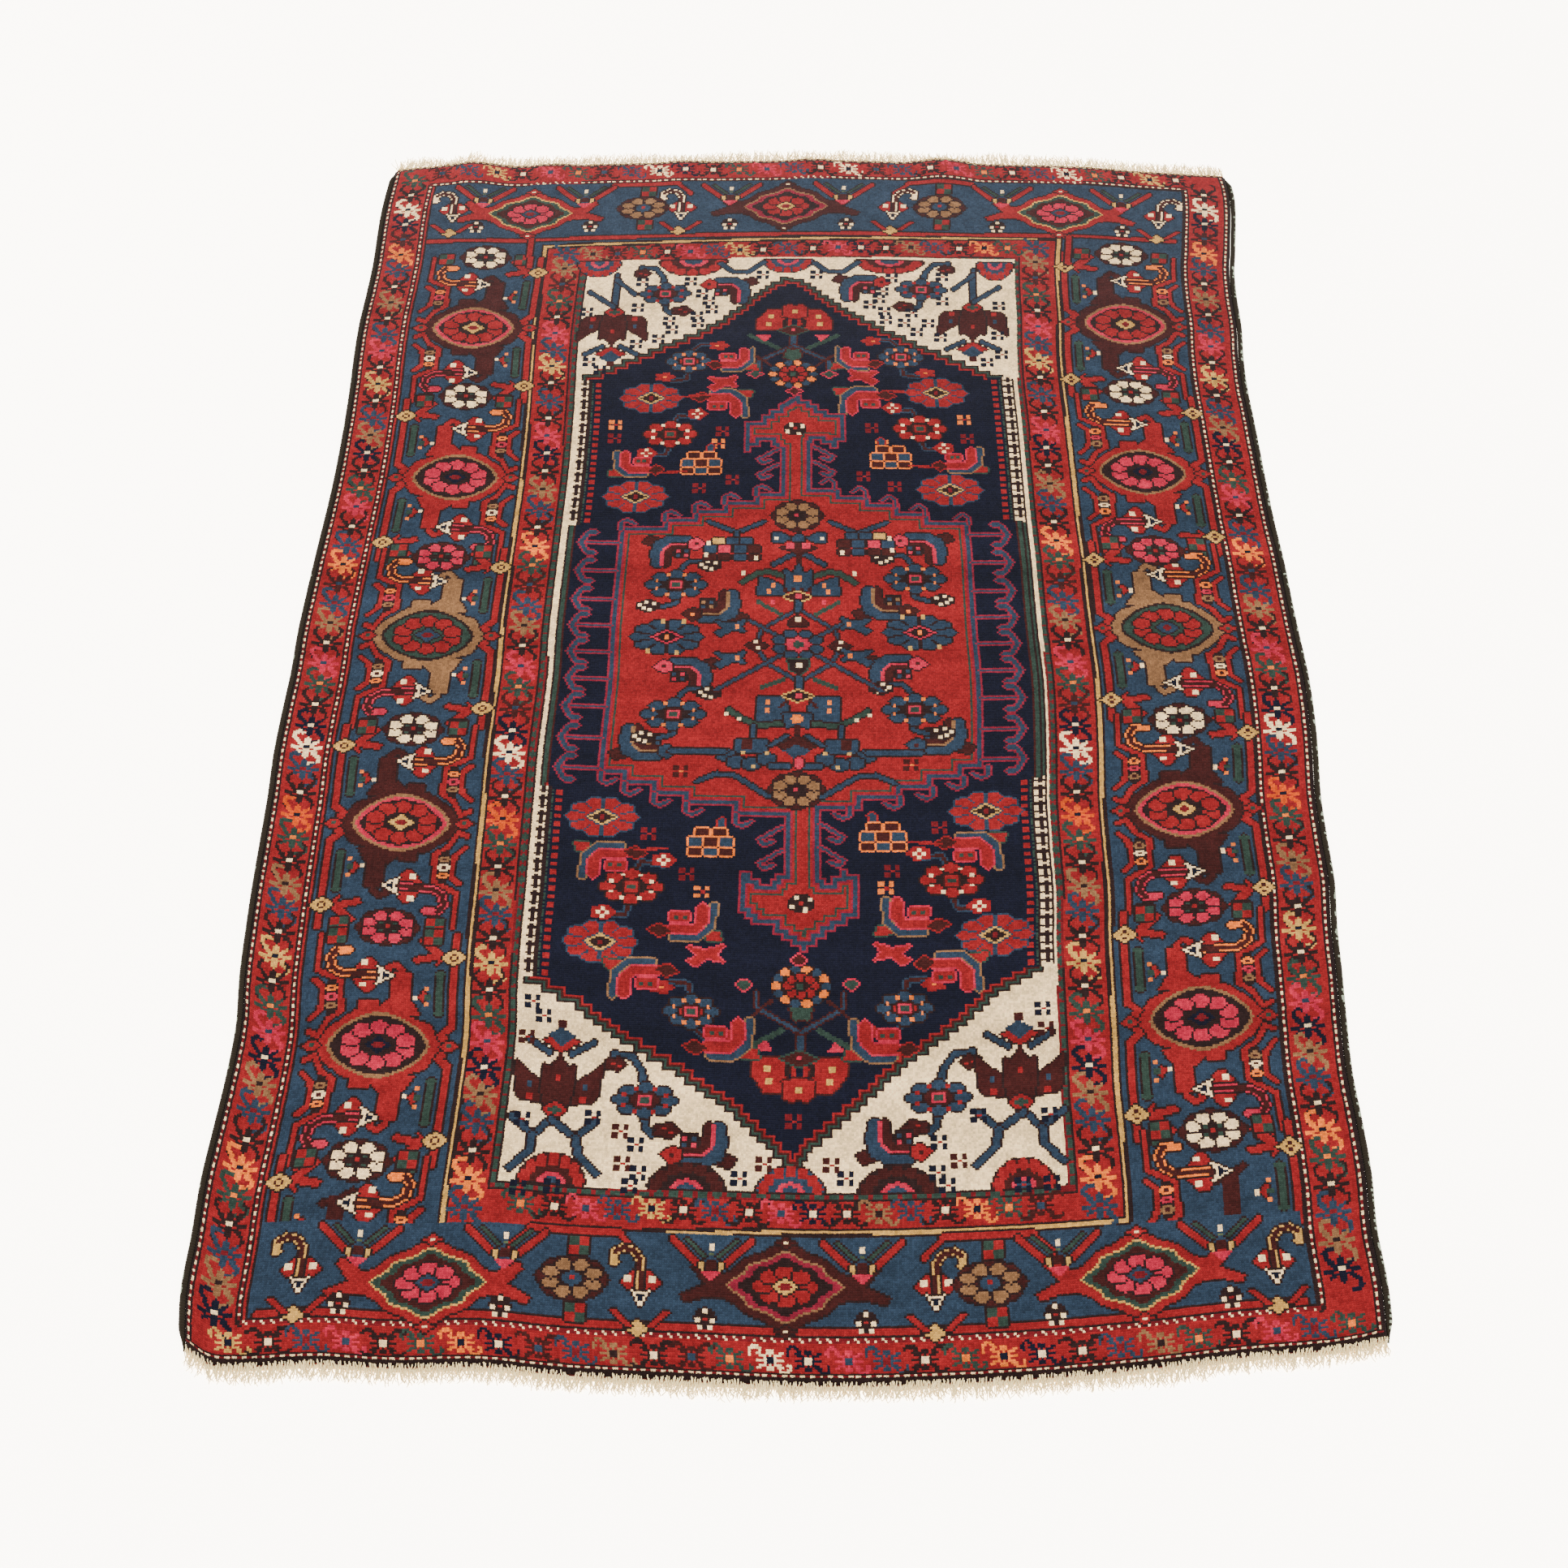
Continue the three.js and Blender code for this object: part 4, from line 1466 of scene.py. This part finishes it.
def yarn_line(draw, root, facts, extra):
    """One warp end: it leaves the strip, falls to the floor and curls a little."""
    length = (facts["length"] + extra) * draw.uniform(*YARN_LENGTHS)
    lean = draw.gauss(0, YARN_LEAN)
    curl = facts["curl"] * draw.uniform(*YARN_CURLS)
    turn = draw.uniform(0, 2 * math.pi)
    waves = draw.uniform(*YARN_WAVES)
    layer = draw.uniform(*YARN_LAYERS)
    points = []
    for index in range(YARN_POINTS):
        share = index / (YARN_POINTS - 1)
        swing = curl * share * math.sin(turn + 2 * math.pi * waves * share)
        x = root[0] + length * lean * share + swing
        y = root[1] + facts["outward"] * length * share
        height = YARN_LOWEST * YARN_RADIUS + layer * (1 - share) + (root[2] - YARN_RADIUS) * (1 - share) ** 2
        points.append((x, y, height))
    return points


def yarns_mesh(name, lines):
    """Round yarns along the lines, thinner at their tips."""
    curve = bpy.data.curves.new(name, "CURVE")
    curve.dimensions = "3D"
    curve.bevel_depth = YARN_RADIUS
    curve.bevel_resolution = 0
    curve.use_fill_caps = True
    for line in lines:
        spline = curve.splines.new("POLY")
        spline.points.add(len(line) - 1)
        for index, (point, place) in enumerate(zip(spline.points, line)):
            point.co = (*place, 1)
            point.radius = 1 - YARN_THINNING * (index / (len(line) - 1)) ** 2
    holder = bpy.data.objects.new(name, curve)
    bm = bmesh.new()
    bm.from_mesh(bpy.data.meshes.new_from_object(holder))
    bmesh.ops.remove_doubles(bm, verts=bm.verts, dist=1e-7)
    bpy.data.objects.remove(holder)
    return mesh_from(bm, name)


def end_edge(facts, count):
    """Points along one end of the pile, from left to right."""
    return pile_points(np.linspace(0, 1, count), np.array([float(facts["along"])]))[:, 0]


def end_strip(facts):
    """The narrow flat-woven strip that the warp ends leave, a grid rolled up into a low rounded band."""
    mesh = flat_grid("end_strip", STRIP_SIDES, STRIP_RINGS)
    flat = vertex_places(mesh)
    turn = 2 * math.pi * (flat[:, 0] + 0.5)
    ring = np.rint((flat[:, 1] + 0.5) * STRIP_RINGS).astype(int)
    line = end_edge(facts, STRIP_RINGS + 1)[ring]
    swell = 1 + STRIP_SWELL * np.sin(ring * STRIP_SWELL_TURN)
    out = PIECE_GAP + STRIP_WIDTH / 2 * (1 + np.cos(turn))
    y = line[:, 1] + facts["tuck"] + facts["outward"] * out
    z = line[:, 2] - PILE_THICKNESS + STRIP_HEIGHT / 2 * (1 + swell * np.sin(turn))
    move_vertices(mesh, np.column_stack((line[:, 0], y, z)))
    close_tube(mesh)
    return mesh


def warp_fringe(end):
    facts = FRINGES[end]
    draw = random.Random(f"fringe {end}")
    lines = []
    for place in end_edge(facts, YARNS):
        lift = place[2] - PILE_THICKNESS
        start = draw.uniform(LAP, STRIP_WIDTH)
        height = lift + (STRIP_HEIGHT * draw.uniform(*ROOT_HEIGHTS) if start > 0 else LAPPED_HEIGHT)
        x = place[0] + draw.gauss(0, ROOT_SCATTER)
        root = (x, place[1] + facts["tuck"] + facts["outward"] * start, height)
        lines.append(yarn_line(draw, root, facts, tuft_extra(end, place[0])))
    return joined("warp_fringe_" + end, (end_strip(facts), yarns_mesh("yarns", lines)))


def joined(name, meshes):
    bm = bmesh.new()
    for mesh in meshes:
        bm.from_mesh(mesh)
    return mesh_from(bm, name)


# Materials. Noises are given as Blender's noise node takes them.

SHEEN_ROUGHNESS = 0.6
SPECULAR = 0.05
FIBRE_NOISE = {"Scale": 900, "Detail": 3, "Roughness": 0.7}
FIBRE_HEIGHT = 0.6
PATCH_NOISE = {"Scale": 55, "Detail": 4, "Roughness": 0.65}

# The edges of the knots wander, single knots and bands of rows differ in value, and a painted sheen makes the
# far end paler.
EDGE_NOISE = {"Scale": 700, "Detail": 2}
EDGE_WANDER = 1.3
KNOT_DARKEST = 0.78
KNOT_SPREAD = 0.5
BAND_NOISE = {"Scale": 0.045, "Detail": 3}
BAND_DARKEST = 0.68
BAND_SPREAD = 0.7
KNOT_ROUNDING = 0.6
# Painted sheen at the far end: its pale colour, how many rows from the far end it reaches, and its share at
# the far end.
FAR_SHEEN_COLOUR = (196, 190, 190)
FAR_SHEEN_ROWS = 260
FAR_SHEEN_MOST = 0.015

CORD_BROWN = (36, 30, 22)
CORD_WORN = (140, 150, 128)
WEAR_NOISE = {"Scale": 0.07, "Detail": 2}
WEAR_SPREAD = 0.8

# Where round the cord the wear has its middle, and how far it reaches at least and in addition.
WEAR_MIDDLE = 0.27
WEAR_REACH = 0.06
WEAR_MORE = 0.3

COTTON_NOISE = {"Scale": 260, "Detail": 2}
COTTON_PALE = (248, 228, 172)
COTTON_DEEP = (230, 200, 138)


def add_node(tree, kind, inputs=None, **settings):
    made = tree.nodes.new(kind)
    for name, value in settings.items():
        setattr(made, name, value)
    for socket, value in (inputs or {}).items():
        if isinstance(value, bpy.types.NodeSocket):
            tree.links.new(value, made.inputs[socket])
        else:
            made.inputs[socket].default_value = value
    return made


def math_node(tree, operation, *values):
    made = add_node(tree, "ShaderNodeMath", dict(enumerate(values)), operation=operation)
    return made.outputs[0]


def mix_colour(tree, blend, share, below, above):
    inputs = {0: share, 6: below, 7: above}
    return add_node(tree, "ShaderNodeMix", inputs, data_type="RGBA", blend_type=blend).outputs[2]


def mix_value(tree, share, below, above):
    return add_node(tree, "ShaderNodeMix", {0: share, 2: below, 3: above}).outputs[0]


def noise(tree, inputs, **settings):
    return add_node(tree, "ShaderNodeTexNoise", inputs, **settings).outputs["Fac"]


def object_place(tree):
    return add_node(tree, "ShaderNodeTexCoord").outputs["Object"]


def ridges(tree, value):
    """One rounded ridge for each whole step of a value."""
    return math_node(tree, "ABSOLUTE", math_node(tree, "SINE", math_node(tree, "MULTIPLY", value, math.pi)))


def new_group(name, inputs, outputs):
    tree = bpy.data.node_groups.new(name, "ShaderNodeTree")
    for socket, kind, value in inputs:
        made = tree.interface.new_socket(socket, in_out="INPUT", socket_type=kind)
        made.default_value = value
    for socket, kind in outputs:
        tree.interface.new_socket(socket, in_out="OUTPUT", socket_type=kind)
    return tree, tree.nodes.new("NodeGroupInput"), tree.nodes.new("NodeGroupOutput")


def use_group(tree, group, inputs):
    return add_node(tree, "ShaderNodeGroup", inputs, node_tree=group)


def spun_wool_group():
    """Uneven dye and the fine fibres of yarn. It changes a colour and gives a height for bump."""
    tree, given, result = new_group(
        "spun_wool",
        (("Color", "NodeSocketColor", (0.5, 0.5, 0.5, 1)), ("Mottle", "NodeSocketFloat", 0.2)),
        (("Color", "NodeSocketColor"), ("Height", "NodeSocketFloat")),
    )
    place = object_place(tree)
    fibres = noise(tree, {"Vector": place, **FIBRE_NOISE})
    patches = noise(tree, {"Vector": place, **PATCH_NOISE})
    both = math_node(tree, "ADD", fibres, patches)
    centred = math_node(tree, "SUBTRACT", both, 1)
    change = math_node(tree, "MULTIPLY_ADD", centred, given.outputs["Mottle"], 1)
    grey = add_node(tree, "ShaderNodeCombineColor", {0: change, 1: change, 2: change}).outputs[0]
    colour = mix_colour(tree, "MULTIPLY", 1.0, given.outputs["Color"], grey)
    tree.links.new(colour, result.inputs["Color"])
    tree.links.new(fibres, result.inputs["Height"])
    return tree


def new_material(name, sockets):
    material = bpy.data.materials.new(name)
    material.use_nodes = True
    shader = material.node_tree.nodes["Principled BSDF"]
    for socket, value in sockets.items():
        shader.inputs[socket].default_value = value
    return material, material.node_tree, shader


def fabric_material(name, roughness, sheen):
    return new_material(name, {
        "Roughness": roughness,
        "Sheen Weight": sheen,
        "Sheen Roughness": SHEEN_ROUGHNESS,
        "Specular IOR Level": SPECULAR,
    })


def finish_fabric(tree, shader, wool, colour, mottle, height, distance):
    """Feeds a colour through the wool group and a height through a bump into the shader, distance deep."""
    spun = use_group(tree, wool, {"Color": colour, "Mottle": mottle})
    tree.links.new(spun.outputs["Color"], shader.inputs["Base Color"])
    total = math_node(tree, "MULTIPLY_ADD", spun.outputs["Height"], FIBRE_HEIGHT, height)
    bump = add_node(tree, "ShaderNodeBump", {"Height": total, "Strength": 1.0, "Distance": distance})
    tree.links.new(bump.outputs["Normal"], shader.inputs["Normal"])


def dyed_knots_group():
    """The colour of each knot, chosen by its place in the face from the face's four stored knots."""
    tree, given, result = new_group(
        "dyed_knots",
        (("Across", "NodeSocketFloat", 0.0), ("Down", "NodeSocketFloat", 0.0)),
        (("Color", "NodeSocketColor"),),
    )
    stored = add_node(tree, "ShaderNodeAttribute", attribute_name="knots")
    channels = add_node(tree, "ShaderNodeSeparateColor", {0: stored.outputs["Color"]})
    wobble = add_node(tree, "ShaderNodeTexNoise", {"Vector": object_place(tree), **EDGE_NOISE})
    wobbles = add_node(tree, "ShaderNodeSeparateColor", {0: wobble.outputs["Color"]})
    second = []
    for axis, amount in (("Across", wobbles.outputs[0]), ("Down", wobbles.outputs[1])):
        inside = math_node(tree, "FLOORED_MODULO", given.outputs[axis], KNOTS_PER_FACE)
        moved = math_node(tree, "MULTIPLY_ADD", math_node(tree, "SUBTRACT", amount, 0.5), EDGE_WANDER, inside)
        second.append(math_node(tree, "GREATER_THAN", moved, 1))
    upper = mix_value(tree, second[0], channels.outputs[0], channels.outputs[1])
    lower = mix_value(tree, second[0], channels.outputs[2], stored.outputs["Alpha"])
    chosen = mix_value(tree, second[1], upper, lower)
    ramp = add_node(tree, "ShaderNodeValToRGB", {0: chosen})
    fill_dye_ramp(ramp.color_ramp)
    tree.links.new(ramp.outputs["Color"], result.inputs["Color"])
    return tree


def linear(red, green, blue):
    """A colour given in everyday 0 to 255 values, as the shader takes it."""
    def one(value):
        share = value / 255
        return share / 12.92 if share <= 0.04045 else ((share + 0.055) / 1.055) ** 2.4
    return one(red), one(green), one(blue), 1


def fill_dye_ramp(ramp):
    ramp.interpolation = "CONSTANT"
    ramp.elements[0].color = linear(*DYES[0][1:])
    ramp.elements.remove(ramp.elements[1])
    for index, (_, *values) in enumerate(DYES[1:], start=1):
        ramp.elements.new(index / RAMP_STOPS).color = linear(*values)


def pile_material(wool):
    material, tree, shader = fabric_material("knotted_wool", 0.95, 0.02)
    chart = add_node(tree, "ShaderNodeUVMap", uv_map="chart").outputs["UV"]
    axes = add_node(tree, "ShaderNodeSeparateXYZ", {0: chart})
    across = axes.outputs[0]
    down = axes.outputs[1]
    dyed = use_group(tree, dyed_knots_group(), {"Across": across, "Down": down}).outputs["Color"]
    cell = add_node(tree, "ShaderNodeVectorMath", {0: chart}, operation="FLOOR").outputs[0]
    chance = add_node(tree, "ShaderNodeTexWhiteNoise", {"Vector": cell}).outputs["Value"]
    band = noise(tree, {"W": down, **BAND_NOISE}, noise_dimensions="1D")
    knot_value = math_node(tree, "MULTIPLY_ADD", chance, KNOT_SPREAD, KNOT_DARKEST)
    band_value = math_node(tree, "MULTIPLY_ADD", band, BAND_SPREAD, BAND_DARKEST)
    value = math_node(tree, "MULTIPLY", knot_value, band_value)
    uneven = add_node(tree, "ShaderNodeHueSaturation", {"Color": dyed, "Value": value}).outputs[0]
    # Painted sheen: the far end is mixed a little towards pale grey.
    with_far_sheen = mix_colour(tree, "MIX", far_sheen_share(tree, down), uneven, linear(*FAR_SHEEN_COLOUR))
    relief = [math_node(tree, "POWER", ridges(tree, axis), KNOT_ROUNDING) for axis in (across, down)]
    height = math_node(tree, "MULTIPLY", *relief)
    finish_fabric(tree, shader, wool, with_far_sheen, 1.0, height, 0.0008)
    return material


def far_sheen_share(tree, down):
    """Painted sheen: the far end is mixed a little towards pale grey, as the pile catches the light there."""
    ends = {"Value": down, "From Min": 0, "From Max": FAR_SHEEN_ROWS, "To Min": FAR_SHEEN_MOST, "To Max": 0}
    return add_node(tree, "ShaderNodeMapRange", ends, interpolation_type="SMOOTHSTEP").outputs["Result"]


def cord_material(wool, name, worn):
    """Dark overcast wool. worn is the share of wraps that have worn pale on the outer rim."""
    material, tree, shader = fabric_material(name, 0.95, 0.02)
    turns = add_node(tree, "ShaderNodeUVMap", uv_map="wraps").outputs["UV"]
    axes = add_node(tree, "ShaderNodeSeparateXYZ", {0: turns})
    around = axes.outputs[0]
    wraps = math_node(tree, "MULTIPLY_ADD", around, WRAP_SLANT, axes.outputs[1])
    number = math_node(tree, "FLOOR", wraps)
    chance = add_node(tree, "ShaderNodeTexWhiteNoise", {"W": number}, noise_dimensions="1D").outputs["Value"]
    patch = noise(tree, {"W": number, **WEAR_NOISE}, noise_dimensions="1D")
    likely = math_node(tree, "MULTIPLY_ADD", patch, WEAR_SPREAD, worn - WEAR_SPREAD / 2)
    is_worn = math_node(tree, "LESS_THAN", chance, likely)
    reach = math_node(tree, "ABSOLUTE", math_node(tree, "SUBTRACT", around, WEAR_MIDDLE))
    most = math_node(tree, "MULTIPLY_ADD", chance, WEAR_MORE, WEAR_REACH)
    on_rim = math_node(tree, "LESS_THAN", reach, most)
    share = math_node(tree, "MULTIPLY", is_worn, on_rim)
    colour = mix_colour(tree, "MIX", share, linear(*CORD_BROWN), linear(*CORD_WORN))
    finish_fabric(tree, shader, wool, colour, 0.5, ridges(tree, wraps), 0.0006)
    return material


def cotton_material(wool):
    material, tree, shader = fabric_material("warp_cotton", 0.9, 0.15)
    tint = noise(tree, {"Vector": object_place(tree), **COTTON_NOISE})
    colour = mix_colour(tree, "MIX", tint, linear(*COTTON_PALE), linear(*COTTON_DEEP))
    finish_fabric(tree, shader, wool, colour, 0.2, tint, 0.0002)
    return material


# Stage

PIXELS = 1932
FOCAL_PIXELS = 3000
SENSOR_MM = 36
CAMERA_PLACE = (0.0770, -2.1037, 2.4093)
CAMERA_RIGHT = (0.99958, 0.01832, -0.02245)
CAMERA_UP = (-0.0006, 0.78775, 0.616)
CAMERA_BACK = (0.02897, -0.61573, 0.78743)
FLOOR_SIZE = 8
FLOOR_HEIGHT = -0.0004
FLOOR_FINISH = {
    "Base Color": (0.93, 0.93, 0.91, 1),
    "Roughness": 0.9,
    "Emission Color": (1, 0.9, 0.76, 1),
    "Emission Strength": 8.4,
}
SKY = {"Color": (1, 1, 0.99, 1), "Strength": 1.5}
LAMPS = (
    {"name": "main_softbox", "place": (-1.6, 0.8, 3.4), "size": 2.6, "power": 165},
    {"name": "fill_softbox", "place": (2.2, -1.2, 3.0), "size": 2.6, "power": 75},
)


def add_camera():
    data = bpy.data.cameras.new("view")
    data.sensor_width = SENSOR_MM
    data.lens = SENSOR_MM * FOCAL_PIXELS / PIXELS
    camera = placed("view", data)
    turn = Matrix((CAMERA_RIGHT, CAMERA_UP, CAMERA_BACK)).transposed().to_4x4()
    camera.matrix_world = Matrix.Translation(CAMERA_PLACE) @ turn
    bpy.context.scene.camera = camera


def add_floor():
    bm = bmesh.new()
    bmesh.ops.create_grid(bm, x_segments=1, y_segments=1, size=FLOOR_SIZE)
    bmesh.ops.translate(bm, vec=(0, 0, FLOOR_HEIGHT), verts=bm.verts)
    floor = placed("floor", mesh_from(bm, "floor"))
    floor.data.materials.append(new_material("pale_floor", FLOOR_FINISH)[0])


def add_light():
    world = bpy.data.worlds.new("studio")
    world.use_nodes = True
    for socket, value in SKY.items():
        world.node_tree.nodes["Background"].inputs[socket].default_value = value
    bpy.context.scene.world = world
    for lamp in LAMPS:
        data = bpy.data.lights.new(lamp["name"], "AREA")
        data.energy = lamp["power"]
        data.size = lamp["size"]
        light = placed(lamp["name"], data)
        place = Matrix.Translation(lamp["place"])
        towards = -place.translation.normalized()
        light.matrix_world = place @ towards.to_track_quat("-Z", "Y").to_matrix().to_4x4()


# The rug. Each cord has its side and the share of its wraps that has worn pale.

CORDS = (("left", -1, 0.25), ("right", 1, 0.6))


def add_rug():
    wool = spun_wool_group()
    pile = new_piece("knotted_pile", knotted_pile(draw_chart()), pile_material(wool))
    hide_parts("pile_body")
    for side_name, side, worn in CORDS:
        name = "side_cord_" + side_name
        material = cord_material(wool, "overcast_wool_" + side_name, worn)
        cord = new_piece(name, side_cord(name, side), material)
        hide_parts("selvedge_" + side_name)
    cotton = cotton_material(wool)
    for end in FRINGES:
        yarns = new_piece("warp_fringe_" + end, warp_fringe(end), cotton)
        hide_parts("fringe_" + end)


add_camera()
add_floor()
add_light()
add_rug()
